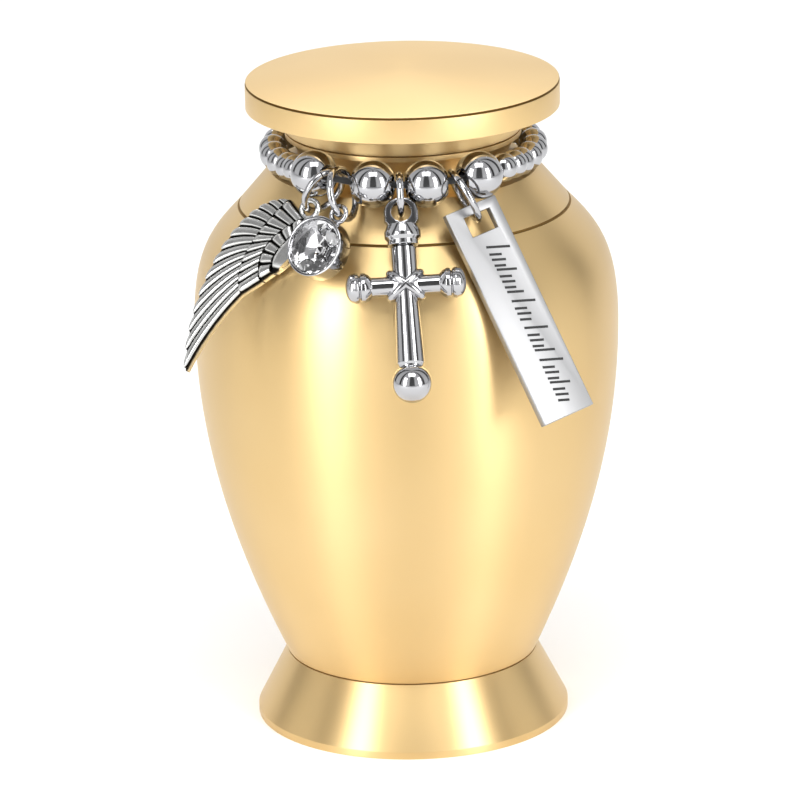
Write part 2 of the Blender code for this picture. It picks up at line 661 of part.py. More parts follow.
def feather_fan(name, roots, tips, count, relief, depth, bulge, serration, collection, across=2, along=4):
    """A row of feathers cast side by side: ridges with grooves between them, on a flat back."""
    bm = bmesh.new()
    lines = count * across
    front, back = [], []
    for k in range(lines + 1):
        share = k / lines
        swell = math.sin(math.pi * (k % across) / across)
        root, tip = roots(share), tips(share)
        way = tip - root
        side = Vector((way.y, -way.x)).normalized()
        middle = (root + tip) / 2 - side * (2 * bulge * way.length)
        tip = tip + way.normalized() * serration * (swell - 0.5)
        height = relief - FEATHER_GROOVE * (1 - swell)
        row_front, row_back = [], []
        for j in range(along + 1):
            t = j / along
            point = root * (1 - t) ** 2 + middle * (2 * t * (1 - t)) + tip * t ** 2
            row_front.append(bm.verts.new((point.x, -height, point.y)))
            row_back.append(bm.verts.new((point.x, depth, point.y)))
        front.append(row_front)
        back.append(row_back)
    for k in range(lines):
        for j in range(along):
            bm.faces.new((front[k][j], front[k][j + 1], front[k + 1][j + 1], front[k + 1][j]))
            bm.faces.new((back[k][j], back[k + 1][j], back[k + 1][j + 1], back[k][j + 1]))
        for j in (0, along):
            bm.faces.new((front[k][j], front[k + 1][j], back[k + 1][j], back[k][j]))
    for k in (0, lines):
        for j in range(along):
            bm.faces.new((front[k][j], front[k][j + 1], back[k][j + 1], back[k][j]))
    return mesh_object(name, bm, collection)


def make_wing(matrix, look, collection, cutters):
    """The wing: flight feathers, two rows of coverts, a smooth lobe and the eyelet, cast as one."""
    wing = feather_fan("wing", ROOT_LINE, TIP_LINE, FLIGHT_FEATHERS, FEATHER_RELIEF, WING_BACK,
                       WING_SWEEP, 0.35 * MM, collection)
    wing.matrix_world = matrix
    wing.data.materials.append(look)
    rows = (("outer_coverts", COVERT_LINE, lambda s: ROOT_LINE(s) * 1.03, OUTER_COVERTS, COVERT_RELIEF),
            ("inner_coverts", INNER_LINE, lambda s: COVERT_LINE(s) * 1.03, INNER_COVERTS, COVERT_RELIEF * 1.1),
            ("lobe", LOBE_LINE, lambda s: INNER_LINE(s) * 1.03, 1, COVERT_RELIEF))
    for number, (name, roots, tips, count, relief) in enumerate(rows, 1):
        depth = WING_BACK * (1 - 0.08 * number)
        row = feather_fan(name, roots, tips, count, relief, depth, 0.0, 0.0, cutters, along=2)
        row.matrix_world = matrix
        boolean(wing, cutter(row, cutters), "UNION")
    boolean(wing, eye("wing_eyelet", EYELET_RADIUS, EYELET_WIRE, matrix, cutters), "UNION")
    return wing


def eye(name, radius, wire, matrix, cutters):
    """A flat loop round a charm's hang point, for a Boolean."""
    bpy.ops.mesh.primitive_torus_add(major_segments=14, minor_segments=6, major_radius=radius, minor_radius=wire)
    obj = bpy.context.object
    obj.name = obj.data.name = name
    obj.matrix_world = matrix @ Matrix.Rotation(math.pi / 2, 4, "X")
    return cutter(obj, cutters)


def crystal_seat(matrix):
    """The middle of the bezel's back, with its axis to the charm's front."""
    drop = BEZEL_RADIUS + LOOP_RADIUS
    return matrix @ Matrix.Translation((0, LOOP_WIRE, -drop)) @ Matrix.Rotation(math.pi / 2, 4, "X")


def make_bezel(matrix, look, collection, cutters):
    """The round cup that holds the stone, with its loop."""
    inner = BEZEL_RADIUS - BEZEL_WALL
    edge = 0.12 * MM
    profile = [(0, BEZEL_FLOOR), (inner, BEZEL_FLOOR), (inner, BEZEL_DEPTH - edge), (inner + edge, BEZEL_DEPTH),
               (BEZEL_RADIUS - edge, BEZEL_DEPTH), (BEZEL_RADIUS, BEZEL_DEPTH - edge), (BEZEL_RADIUS, edge),
               (BEZEL_RADIUS - edge, 0), (0, 0)]
    bezel = lathe("crystal_bezel", profile, look, collection, steps=20)
    bezel.matrix_world = crystal_seat(matrix)
    boolean(bezel, eye("bezel_loop", LOOP_RADIUS, LOOP_WIRE, matrix, cutters), "UNION")
    return bezel


def make_stone(matrix, look, collection):
    """The faceted stone in the bezel: table, crown, girdle and pavilion."""
    radius = BEZEL_RADIUS - BEZEL_WALL - STONE_CLEARANCE
    girdle = BEZEL_DEPTH - STONE_GIRDLE
    profile = [(0, girdle + STONE_CROWN), (radius * STONE_TABLE, girdle + STONE_CROWN), (radius, girdle),
               (radius, girdle - STONE_GIRDLE), (0, BEZEL_FLOOR + STONE_CLEARANCE)]
    stone = lathe("crystal_stone", profile, look, collection, steps=16)
    stone.matrix_world = crystal_seat(matrix)
    return stone


def make_charms(looks, collection, cutters):
    """All four charms, each with its jump ring."""
    steel, silver, crystal = looks
    cross_gap, tag_gap, pair_gap = ring_places()
    hang = hang_point(cross_gap, CROSS_SHIFT, CROSS_DROP, 0, CROSS_BACK)
    matrix = charm_matrix(hang, 0, CROSS_SPIN)
    make_ring("cross_ring", cross_gap, hang, 0, steel, collection)
    make_cap(matrix, steel, collection, cutters)
    make_cross(matrix, steel, collection, cutters)
    hang = hang_point(tag_gap, TAG_SHIFT, TAG_DROP, TAG_FACING, TAG_THICKNESS / 2)
    matrix = charm_matrix(hang, TAG_FACING, TAG_SPIN)
    slot_top = matrix @ Vector((0, 0, SLOT_HEIGHT / 2 - RING_WIRE - SLOT_CLEARANCE))
    make_ring("tag_ring", tag_gap + TAG_ASIDE, slot_top, TAG_FACING, steel, collection, TAG_RING_TWIST)
    make_tag(matrix, steel, collection, cutters)
    hang = hang_point(pair_gap, WING_SHIFT, WING_DROP, WING_FACING, WING_BACK)
    make_ring("wing_ring", pair_gap + WING_ASIDE, hang, WING_FACING, steel, collection)
    make_wing(charm_matrix(hang, WING_FACING, 0), silver, collection, cutters)
    bezel_back = WING_BACK + COVERT_RELIEF * 1.1 + GAP + LOOP_WIRE
    hang = hang_point(pair_gap, CRYSTAL_SHIFT, CRYSTAL_DROP, WING_FACING, bezel_back)
    matrix = charm_matrix(hang, WING_FACING, CRYSTAL_SPIN)
    make_ring("crystal_ring", pair_gap + CRYSTAL_ASIDE, hang, WING_FACING, steel, collection)
    make_bezel(matrix, steel, collection, cutters)
    make_stone(matrix, crystal, collection)


def main():
    """Makes the urn with everything that hangs on it."""
    for obj in list(bpy.data.objects):
        bpy.data.objects.remove(obj)
    urn = bpy.data.collections.new("keepsake_urn")
    bpy.context.scene.collection.children.link(urn)
    gold = material("gold_anodised_aluminium", (0.80, 0.56, 0.23), 1.0, 0.28)
    steel = material("polished_steel", (0.62, 0.62, 0.62), 1.0, 0.08)
    silver = material("antiqued_silver", (0.45, 0.45, 0.45), 1.0, 0.35)
    crystal = material("clear_crystal", (0.9, 0.92, 0.95), 0.0, 0.02, 0.4)
    elastic = material("elastic_cord", (0.03, 0.03, 0.03), 0.0, 0.6)
    cutters = bpy.data.collections.new("cutters")
    bpy.context.scene.collection.children.link(cutters)
    make_foot(gold, urn)
    make_body(gold, urn)
    make_lid(gold, urn)
    make_cord(elastic, urn)
    make_beads(steel, urn)
    make_charms((steel, silver, crystal), urn, cutters)


main()
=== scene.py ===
"""Looks for a keepsake cremation urn of gold anodised aluminium with a bead bracelet and four charms.

Metres, +Z up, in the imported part's own frame: the origin is on the urn's axis at the underside of its foot,
and -Y is the front. The sizes below are those of the part. Every piece stands where its solid is, except that
the charms and their rings keep about a tenth of a millimetre more distance, as their round surfaces need.
"""
import math

import bmesh
import bpy
import numpy as np
from bpy.props import FloatProperty, FloatVectorProperty, IntProperty, PointerProperty
from mathutils import Matrix, Vector


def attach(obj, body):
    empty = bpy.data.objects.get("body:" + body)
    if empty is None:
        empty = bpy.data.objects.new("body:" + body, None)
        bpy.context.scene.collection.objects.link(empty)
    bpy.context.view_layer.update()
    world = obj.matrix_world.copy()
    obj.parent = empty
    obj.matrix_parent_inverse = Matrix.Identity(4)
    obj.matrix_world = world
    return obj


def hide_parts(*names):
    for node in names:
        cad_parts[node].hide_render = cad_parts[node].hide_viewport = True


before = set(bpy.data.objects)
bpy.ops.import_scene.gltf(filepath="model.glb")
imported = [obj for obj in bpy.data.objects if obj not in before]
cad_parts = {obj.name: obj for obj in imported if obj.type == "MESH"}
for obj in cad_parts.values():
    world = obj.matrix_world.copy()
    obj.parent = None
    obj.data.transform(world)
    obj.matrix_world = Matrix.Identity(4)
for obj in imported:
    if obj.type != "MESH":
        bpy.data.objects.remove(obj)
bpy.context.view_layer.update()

bl_info = {
    "name": "Keepsake urn",
    "version": (1, 0, 0),
    "blender": (4, 5, 0),
    "location": "3D View > Sidebar > Keepsake urn",
    "description": "Dresses the packed keepsake urn: turned gold pieces, bracelet, charms and studio",
    "category": "Object",
}

BODY = "root"
MM = 0.001
BROKEN_EDGE = 0.12 * MM     # radius that breaks the edges of cast and small turned pieces

# Turned pieces, as the part has them
SEAT = 0.15 * MM
GAP = 0.3 * MM
FOOT_RADIUS = 16.8 * MM
FOOT_HEIGHT = 7.2 * MM
FOOT_BAND = 0.8 * MM
WAIST_RADIUS = 13.5 * MM
BELLY_RADIUS = 22.6 * MM
BELLY_HEIGHT = 44.0 * MM
LINE_RADIUS = 17.7 * MM
LINE_RISE = 12.8 * MM
LINE_HEIGHT = BELLY_HEIGHT + LINE_RISE
LINE_WIDTH = 0.35 * MM
LINE_DEPTH = 0.2 * MM
SHOULDER_BULGE = 0.56       # the wall's curve from line to belly: shares of its width and its drop
SHOULDER_FALL = 0.226
BELLY_RISE = 0.625
BELLY_FALL = 0.38           # and from belly to waist
WAIST_BULGE = 0.56
WAIST_RISE = 0.3
CREST_RADIUS = 14.2 * MM
CREST_RISE = 4.1 * MM
CREST_HEIGHT = LINE_HEIGHT + CREST_RISE
LIP_RADIUS = 12.5 * MM
LIP_BAND = 0.5 * MM
LIP_STEP = 0.1 * MM         # from the lip's edge back to the cove under it
COVE_FALL = 0.4             # of the neck's height, where the cove turns upright
NECK_RADIUS = 10.6 * MM
NECK_RISE = 4.05 * MM
MOUTH_HEIGHT = CREST_HEIGHT + NECK_RISE
BORE_RADIUS = 9.2 * MM
WALL = 1.6 * MM
FLOOR = 2.0 * MM
COLLAR_RADIUS = 13.0 * MM
COLLAR_HEIGHT = 2.4 * MM
COLLAR_INSET = 0.5 * MM     # how far the collar's curve draws in
COLLAR_UPPER = 0.8          # of the collar's height, where its curve turns
COLLAR_LOWER = 0.45
RIM_RADIUS = 16.6 * MM
RIM_BAND = 2.5 * MM
GROOVE_DEPTH = 0.25 * MM
GROOVE_WIDTH = 0.25 * MM
DOME_RISE = 1.2 * MM
PLUG_LENGTH = 4.0 * MM
PLUG_CLEARANCE = 0.3 * MM

# Bracelet
CORD_RADIUS = 0.35 * MM
LARGE_BEAD = 2.5 * MM
LARGE_LENGTH = 4.2 * MM
LARGE_BORE = 0.85 * MM
SMALL_BEAD = 1.5 * MM
SMALL_LENGTH = 2.6 * MM
SMALL_BORE = 0.55 * MM
BEAD_SPACE = 0.15 * MM
END_SPACE = 0.45 * MM
CROSS_SPACE = 1.3 * MM
TAG_SPACE = 1.6 * MM
PAIR_SPACE = 2.7 * MM
CROSS_PLACE = -0.45 * MM
TAG_ASIDE = 0.25 * MM
WING_ASIDE = -1.0 * MM
CRYSTAL_ASIDE = 0.45 * MM
BACK_INSET = 0.4 * MM
BACK_RISE = 1.85 * MM
BEAD_INSET = 1.33 * MM
FRONT_RISE = 0.876 * MM
SIDE_LIFT = 1.8 * MM
FRONT_ANGLE = math.radians(26)
SIDE_ANGLE = math.radians(66)

# Charms
LEAN = math.radians(28.5)
RING_WIRE = 0.36 * MM
RING_SLACK = 0.2 * MM
RING_CUT = 0.12 * MM        # the slit where a jump ring is closed
RING_START = math.radians(35)
RING_END = math.radians(395)
ROUND_CLEARANCE = 0.12 * MM     # how much further out than their solids the charms stand
TAG_RING_OUT = 0.08 * MM        # the tag's ring, further out from the shoulder
TAG_RING_APART = 0.1 * MM       # and further from the outer large bead
PAIR_RING_APART = 0.03 * MM     # the wing's ring, further from the crystal's
CROSS_BACK = 1.55 * MM
CROSS_SPIN = math.radians(-2.6)
CROSS_SHIFT = 0.15 * MM
CROSS_DROP = 2.4 * MM
CAP_RADIUS = 1.88 * MM
CAP_TOP = 1.62 * MM
CAP_WAIST = -1.28 * MM
CAP_BOTTOM = -3.45 * MM
CAP_HOLE = 1.05 * MM
LUG_THICKNESS = 1.7 * MM
POST_RADIUS = 0.9 * MM
POST_LENGTH = 1.0 * MM
POST_CLEARANCE = 0.2 * MM
STUB_RADIUS = 1.3 * MM
ARM_LEVEL = -7.6 * MM
ARM_REACH = 6.2 * MM
ARM_RADIUS = 1.0 * MM
KNOB_RADIUS = 1.6 * MM
KNOB_LENGTH = 2.7 * MM
WRAP_WIDTH = 3.8 * MM
WRAP_HEIGHT = 3.0 * MM
WRAP_CORD = 0.42 * MM
SHAFT_TOP_RADIUS = 1.15 * MM
SHAFT_RADIUS = 1.45 * MM
BALL_RADIUS = 2.05 * MM
BALL_LEVEL = -17.8 * MM
TAG_FACING = math.radians(26)
TAG_SPIN = math.radians(-13.2)
TAG_SHIFT = 2.15 * MM
TAG_DROP = 4.5 * MM
TAG_WIDTH = 6.2 * MM
TAG_LENGTH = 23.9 * MM
TAG_THICKNESS = 0.9 * MM
TAG_EDGE = 0.1 * MM
TAG_RING_TWIST = math.radians(-20)
SLOT_WIDTH = 3.2 * MM
SLOT_HEIGHT = 2.2 * MM
SLOT_MARGIN = 1.0 * MM
SLOT_ASIDE = 0.3 * MM
SLOT_CLEARANCE = 0.3 * MM
WING_FACING = math.radians(-34)
WING_SHIFT = -3.1 * MM
WING_DROP = 3.4 * MM
WING_LENGTH = 19.3 * MM
WING_SWEEP = -0.05
WING_BACK = 0.6 * MM
FEATHER_RELIEF = 0.55 * MM
COVERT_RELIEF = 0.75 * MM
FEATHER_SHARE = 0.88        # of the pitch that a feather fills; the rest is a black groove
FEATHER_TIP = 0.86          # of a feather's length, where its end begins to round off
INNER_RELIEF = COVERT_RELIEF * 1.1
FLIGHT_FEATHERS = 14
OUTER_COVERTS = 10
INNER_COVERTS = 6
EYELET_RADIUS = 0.97 * MM
EYELET_WIRE = 0.33 * MM
CRYSTAL_SPIN = math.radians(12)
CRYSTAL_SHIFT = 1.1 * MM
CRYSTAL_DROP = 2.6 * MM
BEZEL_RADIUS = 3.2 * MM
BEZEL_DEPTH = 2.1 * MM
BEZEL_WALL = 0.3 * MM
BEZEL_FLOOR = 0.4 * MM
LOOP_RADIUS = 0.85 * MM
LOOP_WIRE = 0.26 * MM
STONE_CLEARANCE = 0.12 * MM
STONE_CROWN = 0.65 * MM
STONE_GIRDLE = 0.2 * MM
STONE_TABLE = 0.58          # the stone's facets, as shares of its radius, its crown and its depth
STAR_REACH = 0.8
STAR_LEVEL = 0.52
PAVILION_REACH = 0.45
PAVILION_LEVEL = 0.42

# Camera, fitted to the photograph
IMAGE_PIXELS = 800
SENSOR_WIDTH = 36.0
CAMERA_DISTANCE = 605.2 * MM
CAMERA_ELEVATION = math.radians(17.42)
CAMERA_ROLL = math.radians(1.05)
AIM_HEIGHT = 36.0 * MM
AIM_PIXEL = (407.8, 388.8)
PIXELS_PER_METRE = 9337.0
NEAR_CLIP = 0.01


def linear(code, alpha=1.0):
    """An sRGB hex colour as linear RGBA."""
    channels = [int(code.lstrip("#")[i:i + 2], 16) / 255 for i in (0, 2, 4)]
    return (*(c / 12.92 if c <= 0.04045 else ((c + 0.055) / 1.055) ** 2.4 for c in channels), alpha)


def color_property(name, description, code):
    """A colour that a user may change."""
    return FloatVectorProperty(name=name, description=description, subtype="COLOR", size=4, min=0.0, max=1.0,
                               default=linear(code))


class KeepsakeColors(bpy.types.PropertyGroup):
    """Colours of the urn and its studio."""
    gold: color_property("Gold", "Anodised aluminium of the urn", "#E3C691")
    gold_shade: color_property("Gold, deeper", "Where the anodised layer is a little thicker", "#DEBF87")
    steel: color_property("Steel", "Polished steel of the beads, rings and cross", "#B4B4B6")
    tag_steel: color_property("Tag steel", "Satin steel of the bar tag", "#A6A6A7")
    silver: color_property("Silver", "Raised feathers of the wing", "#D6D6D4")
    # painted shade: a darker, duller gold painted into the lid's groove and the shoulder's line, where shade
    # falls in the recess
    groove_painted_shade: color_property("Gold in grooves", "Dark gold in the lines of lid and shoulder", "#84683A")
    patina: color_property("Patina", "Black in the wing's grooves", "#141312")
    fill: color_property("Stroke fill", "Black enamel in the tag's strokes", "#0C0C0D")
    elastic: color_property("Elastic", "The bracelet's cord", "#141414")
    floor: color_property("Floor", "Plain pale floor", "#F6F6F6")


class KeepsakeSizes(bpy.types.PropertyGroup):
    """Sizes and counts that only change how finely the pieces are made."""
    edge: FloatProperty(name="Edge", description="Radius of the turned pieces' broken edges",
                        default=0.05 * MM, min=0.02 * MM, max=0.4 * MM, unit="LENGTH", subtype="DISTANCE",
                        precision=5)
    stroke: FloatProperty(name="Stroke", description="Width of a stroke on the bar tag", default=0.26 * MM,
                          min=0.05 * MM, max=0.5 * MM, unit="LENGTH", subtype="DISTANCE", precision=5)
    turns: IntProperty(name="Steps round the urn", description="Faces round the large turned pieces",
                       default=192, min=48, max=512)
    bead_turns: IntProperty(name="Steps round a bead", description="Faces round a bead",
                            default=48, min=12, max=128)


# Small tools

def cubic(points, t):
    """The point at a share t along the curve that a start, two handles and an end give."""
    weights = ((1 - t) ** 3, 3 * t * (1 - t) ** 2, 3 * t * t * (1 - t), t ** 3)
    return tuple(sum(w * p[k] for w, p in zip(weights, points)) for k in range(2))


def bezier(start, start_handle, end_handle, end, count):
    """Points along a cubic curve, both ends included."""
    return [cubic((start, start_handle, end_handle, end), i / count) for i in range(count + 1)]


def circle(matrix, radius, count):
    """Points of a circle in the matrix's XZ plane."""
    return [matrix @ Vector((radius * math.cos(a), 0, radius * math.sin(a)))
            for a in (math.tau * i / count for i in range(count))]


def rounded(profile, radius, steps=4, least=math.radians(24)):
    """A profile with its sharp corners turned into small arcs."""
    points = [Vector(point) for point in profile]
    made = [points[0]]
    for before, here, after in zip(points, points[1:], points[2:]):
        back, on = before - here, after - here
        bend = math.pi - back.angle(on)
        if bend < least:
            made.append(here)
            continue
        cut = min(radius * math.tan(bend / 2), 0.45 * back.length, 0.45 * on.length)
        start, end = here + back.normalized() * cut, here + on.normalized() * cut
        for i in range(steps + 1):
            t = i / steps
            made.append(start * (1 - t) ** 2 + here * (2 * t * (1 - t)) + end * t ** 2)
    return made + [points[-1]]


def add_lathe(bm, profile, steps, matrix=Matrix.Identity(4), loop=False):
    """Turns a profile of (radius, height) round the matrix's Z axis, into a bmesh."""
    rings = []
    for radius, height in profile:
        if radius < 1e-9:
            rings.append([bm.verts.new(matrix @ Vector((0, 0, height)))] * steps)
        else:
            rings.append([bm.verts.new(matrix @ Vector((radius * math.cos(math.tau * k / steps),
                                                        radius * math.sin(math.tau * k / steps), height)))
                          for k in range(steps)])
    pairs = list(zip(rings, rings[1:])) + ([(rings[-1], rings[0])] if loop else [])
    for upper, lower in pairs:
        for k in range(steps):
            n = (k + 1) % steps
            corners = []
            for vert in (upper[k], lower[k], lower[n], upper[n]):
                if vert not in corners:
                    corners.append(vert)
            bm.faces.new(corners)


def add_tube(bm, points, radius, sides=12, closed=True):
    """A round wire along points, into a bmesh; an open one gets flat ends."""
    count = len(points)
    rings = []
    normal = None
    for i, point in enumerate(points):
        before = points[i - 1] if closed or i else points[0]
        after = points[(i + 1) % count] if closed or i < count - 1 else points[-1]
        along = (after - before).normalized()
        if normal is None:
            normal = along.orthogonal().normalized()
        normal = (normal - along * normal.dot(along)).normalized()
        side = along.cross(normal)
        rings.append([bm.verts.new(point + radius * (math.cos(a) * normal + math.sin(a) * side))
                      for a in (math.tau * k / sides for k in range(sides))])
    offset = 0
    if closed:
        offset = min(range(sides), key=lambda k: (rings[-1][0].co - rings[0][k].co).length)
    for i in range(count if closed else count - 1):
        here, there = rings[i], rings[(i + 1) % count]
        shift = offset if i == count - 1 else 0
        for k in range(sides):
            bm.faces.new((here[k], here[(k + 1) % sides], there[(k + 1 + shift) % sides],
                          there[(k + shift) % sides]))
    if not closed:
        bm.faces.new(rings[0])
        bm.faces.new(rings[-1])


def add_box(bm, size, matrix):
    """A box of a full size round the matrix's origin, into a bmesh."""
    made = bmesh.ops.create_cube(bm, size=1.0)["verts"]
    for vert in made:
        vert.co = matrix @ Vector([c * s for c, s in zip(vert.co, size)])


def piece(name, bm, look, nodes=(), smooth_degrees=32):
    """A finished piece from a bmesh: its look, the slot of its finish and the nodes that it stands for."""
    bmesh.ops.recalc_face_normals(bm, faces=bm.faces)
    mesh = bpy.data.meshes.new(name)
    bm.to_mesh(mesh)
    bm.free()
    mesh.materials.append(look)
    mesh.shade_smooth()
    mesh.set_sharp_from_angle(angle=math.radians(smooth_degrees))
    obj = bpy.data.objects.new(name, mesh)
    bpy.context.scene.collection.objects.link(obj)
    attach(obj, BODY)
    if nodes:
        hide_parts(*nodes)
    return obj


# Materials

def add_node(tree, kind, inputs=None, **settings):
    """Adds a node, sets its properties and its inputs; an input given as a socket is linked."""
    made = tree.nodes.new(kind)
    for key, value in settings.items():
        setattr(made, key, value)
    for key, value in (inputs or {}).items():
        if isinstance(value, bpy.types.NodeSocket):
            tree.links.new(value, made.inputs[key])
        else:
            made.inputs[key].default_value = value
    return made


def new_material(name, **inputs):
    """A material with its Principled shader, whose plain inputs are set from the keywords."""
    look = bpy.data.materials.new(name)
    look.use_nodes = True
    shader = look.node_tree.nodes["Principled BSDF"]
    for key, value in inputs.items():
        shader.inputs[key.replace("_", " ").title().replace("Ior", "IOR")].default_value = value
    return look, look.node_tree, shader


def object_scale(tree, millimetres):
    """Object coordinates and the scale at which a pattern repeats about every so many millimetres."""
    return add_node(tree, "ShaderNodeTexCoord").outputs["Object"], 1.0 / (millimetres * MM)


def ramp(tree, factor, low, high, low_at=0.0, high_at=1.0):
    """A colour between two, by a factor between two limits."""
    made = add_node(tree, "ShaderNodeValToRGB", {"Fac": factor})
    made.color_ramp.elements[0].position = low_at
    made.color_ramp.elements[1].position = high_at
    made.color_ramp.elements[0].color = low
    made.color_ramp.elements[1].color = high
    return made.outputs["Color"]


def spread(tree, value, low, high):
    """A value of 0 to 1 mapped between two others."""
    made = add_node(tree, "ShaderNodeMapRange", {"Value": value, "To Min": low, "To Max": high})
    return made.outputs["Result"]


def noise(tree, place, scale, **inputs):
    """The value of a noise of that scale."""
    return add_node(tree, "ShaderNodeTexNoise", {"Vector": place, "Scale": scale, **inputs}).outputs["Fac"]


def bump(tree, shader, height, distance_mm, strength):
    """Fine relief on a shader."""
    made = add_node(tree, "ShaderNodeBump",
                    {"Height": height, "Distance": distance_mm * MM, "Strength": strength})
    tree.links.new(made.outputs["Normal"], shader.inputs["Normal"])


def gold_anodised_aluminium(colors, name="gold_anodised_aluminium", drawn_out=0.8):
    """Aluminium turned on a lathe and dyed gold in the anodising bath: a satin metal.

    The fine turning marks run round the axis, so they draw every reflection out into a band up and down.
    The lid is blasted after turning, which leaves it nearly even in all directions.
    """
    look, tree, shader = new_material(name, metallic=1.0)
    place, scale = object_scale(tree, millimetres=14)
    cloud = noise(tree, place, scale, Detail=1.0)
    tint = ramp(tree, cloud, colors.gold_shade, colors.gold, low_at=0.2, high_at=0.8)
    tree.links.new(tint, shader.inputs["Base Color"])
    around = add_node(tree, "ShaderNodeTangent", direction_type="RADIAL", axis="Z")
    tree.links.new(around.outputs["Tangent"], shader.inputs["Tangent"])
    shader.inputs["Anisotropic"].default_value = drawn_out
    shader.inputs["Anisotropic Rotation"].default_value = 0.25
    tree.links.new(spread(tree, cloud, low=0.4, high=0.44), shader.inputs["Roughness"])
    # the tool leaves a groove every 0.1 mm or so, uneven in depth
    squeezed = add_node(tree, "ShaderNodeMapping", {"Vector": place, "Scale": (20.0, 20.0, 1 / (0.1 * MM))})
    marks = noise(tree, squeezed.outputs["Vector"], 1.0, Detail=1.0)
    bump(tree, shader, marks, distance_mm=0.001, strength=0.12)
    return look


def painted_groove_shade(colors):
    """The same metal in the grooves of lid and shoulder, painted darker and dull: painted shade where the
    recess lies in shadow.
    """
    return new_material("gold_anodised_painted_groove_shade", metallic=1.0, base_color=colors.groove_painted_shade,
                        roughness=0.6)[0]


def polished_steel(colors):
    """Barrel-polished stainless steel: a mirror with faint swirl marks."""
    look, tree, shader = new_material("polished_steel", metallic=1.0, base_color=colors.steel)
    place, scale = object_scale(tree, millimetres=0.9)
    swirl = noise(tree, place, scale, Detail=3.0, Distortion=1.5)
    tree.links.new(spread(tree, swirl, low=0.05, high=0.13), shader.inputs["Roughness"])
    bump(tree, shader, swirl, distance_mm=0.01, strength=0.08)
    return look


def brushed_steel(colors):
    """Sheet steel brushed across the bar: fine parallel scratches in a pale satin metal."""
    look, tree, shader = new_material("brushed_steel_sheet", metallic=1.0, base_color=colors.tag_steel)
    place = add_node(tree, "ShaderNodeTexCoord").outputs["UV"]
    # scratches of a 240 grit belt are about 0.06 mm apart
    stretched = add_node(tree, "ShaderNodeMapping",
                         {"Vector": place, "Scale": (1 / (0.06 * MM), 1 / (6 * MM), 1.0)})
    scratch = noise(tree, stretched.outputs["Vector"], 1.0, Detail=2.0)
    tree.links.new(spread(tree, scratch, low=0.42, high=0.52), shader.inputs["Roughness"])
    bump(tree, shader, scratch, distance_mm=0.002, strength=0.2)
    return look


def antiqued_silver(colors):
    """Cast white metal plated with silver, blackened and rubbed back: bright ridges, black in the grooves."""
    look, tree, shader = new_material("antiqued_silver_casting", metallic=1.0)
    groove = add_node(tree, "ShaderNodeAttribute", attribute_name="groove").outputs["Fac"]
    place, scale = object_scale(tree, millimetres=0.6)
    rub = noise(tree, place, scale, Detail=3.0)
    uneven = spread(tree, rub, low=-0.12, high=0.12)
    worn = add_node(tree, "ShaderNodeMath", {0: groove, 1: uneven}, operation="ADD").outputs["Value"]
    tint = ramp(tree, worn, colors.silver, colors.patina, low_at=0.45, high_at=0.8)
    tree.links.new(tint, shader.inputs["Base Color"])
    tree.links.new(spread(tree, worn, low=0.22, high=0.55), shader.inputs["Roughness"])
    bump(tree, shader, rub, distance_mm=0.01, strength=0.15)
    return look


def clear_crystal():
    """Lead crystal, cut and polished: clear, with a high refraction that makes its facets flash."""
    return new_material("clear_lead_crystal", base_color=linear("#FFFFFF"), roughness=0.0, ior=1.62,
                        transmission_weight=1.0)[0]


def black_enamel(colors):
    """Black stove enamel rubbed into engraved strokes: matt and slightly grainy."""
    look, tree, shader = new_material("black_enamel_fill", base_color=colors.fill)
    place, scale = object_scale(tree, millimetres=0.1)
    grain = noise(tree, place, scale)
    tree.links.new(spread(tree, grain, low=0.45, high=0.7), shader.inputs["Roughness"])
    return look


def elastic_cord(colors):
    """Black covered elastic: fine braided threads about 0.1 mm wide round a rubber core."""
    look, tree, shader = new_material("black_covered_elastic", base_color=colors.elastic, roughness=0.7,
                                      sheen_weight=0.3)
    place, scale = object_scale(tree, millimetres=0.2)
    braid = add_node(tree, "ShaderNodeTexWave", {"Vector": place, "Scale": scale, "Distortion": 1.0},
                     bands_direction="DIAGONAL")
    bump(tree, shader, braid.outputs["Fac"], distance_mm=0.03, strength=0.5)
    return look


# Where things are: the same rules as in the part

def upper_wall(count=6):
    """The body's outer side from the scribed line down to the belly."""
    drop = LINE_HEIGHT - BELLY_HEIGHT
    inset = BELLY_RADIUS - LINE_RADIUS
    return bezier((LINE_RADIUS, LINE_HEIGHT),
                  (LINE_RADIUS + SHOULDER_BULGE * inset, LINE_HEIGHT - SHOULDER_FALL * drop),
                  (BELLY_RADIUS, BELLY_HEIGHT + BELLY_RISE * drop), (BELLY_RADIUS, BELLY_HEIGHT), count)


def lower_wall(count=7):
    """The body's outer side from the belly down to the waist."""
    waist = (WAIST_RADIUS, FOOT_HEIGHT + SEAT)
    rise = BELLY_HEIGHT - waist[1]
    swell = BELLY_RADIUS - WAIST_RADIUS
    return bezier((BELLY_RADIUS, BELLY_HEIGHT), (BELLY_RADIUS, BELLY_HEIGHT - BELLY_FALL * rise),
                  (WAIST_RADIUS + WAIST_BULGE * swell, waist[1] + WAIST_RISE * rise), waist, count)


def shoulder():
    """How far out the shoulder reaches along the direction in which the charms face."""
    return max(radius * math.cos(LEAN) + height * math.sin(LEAN) for radius, height in upper_wall())


def front_place():
    """The cord's reach and level in front, where the large beads lie on the shoulder."""
    out = shoulder() + LARGE_BEAD - BEAD_INSET
    up = CREST_HEIGHT * math.cos(LEAN) - CREST_RADIUS * math.sin(LEAN) + FRONT_RISE
    return out * math.cos(LEAN) - up * math.sin(LEAN), out * math.sin(LEAN) + up * math.cos(LEAN)


FRONT_PLACE = front_place()


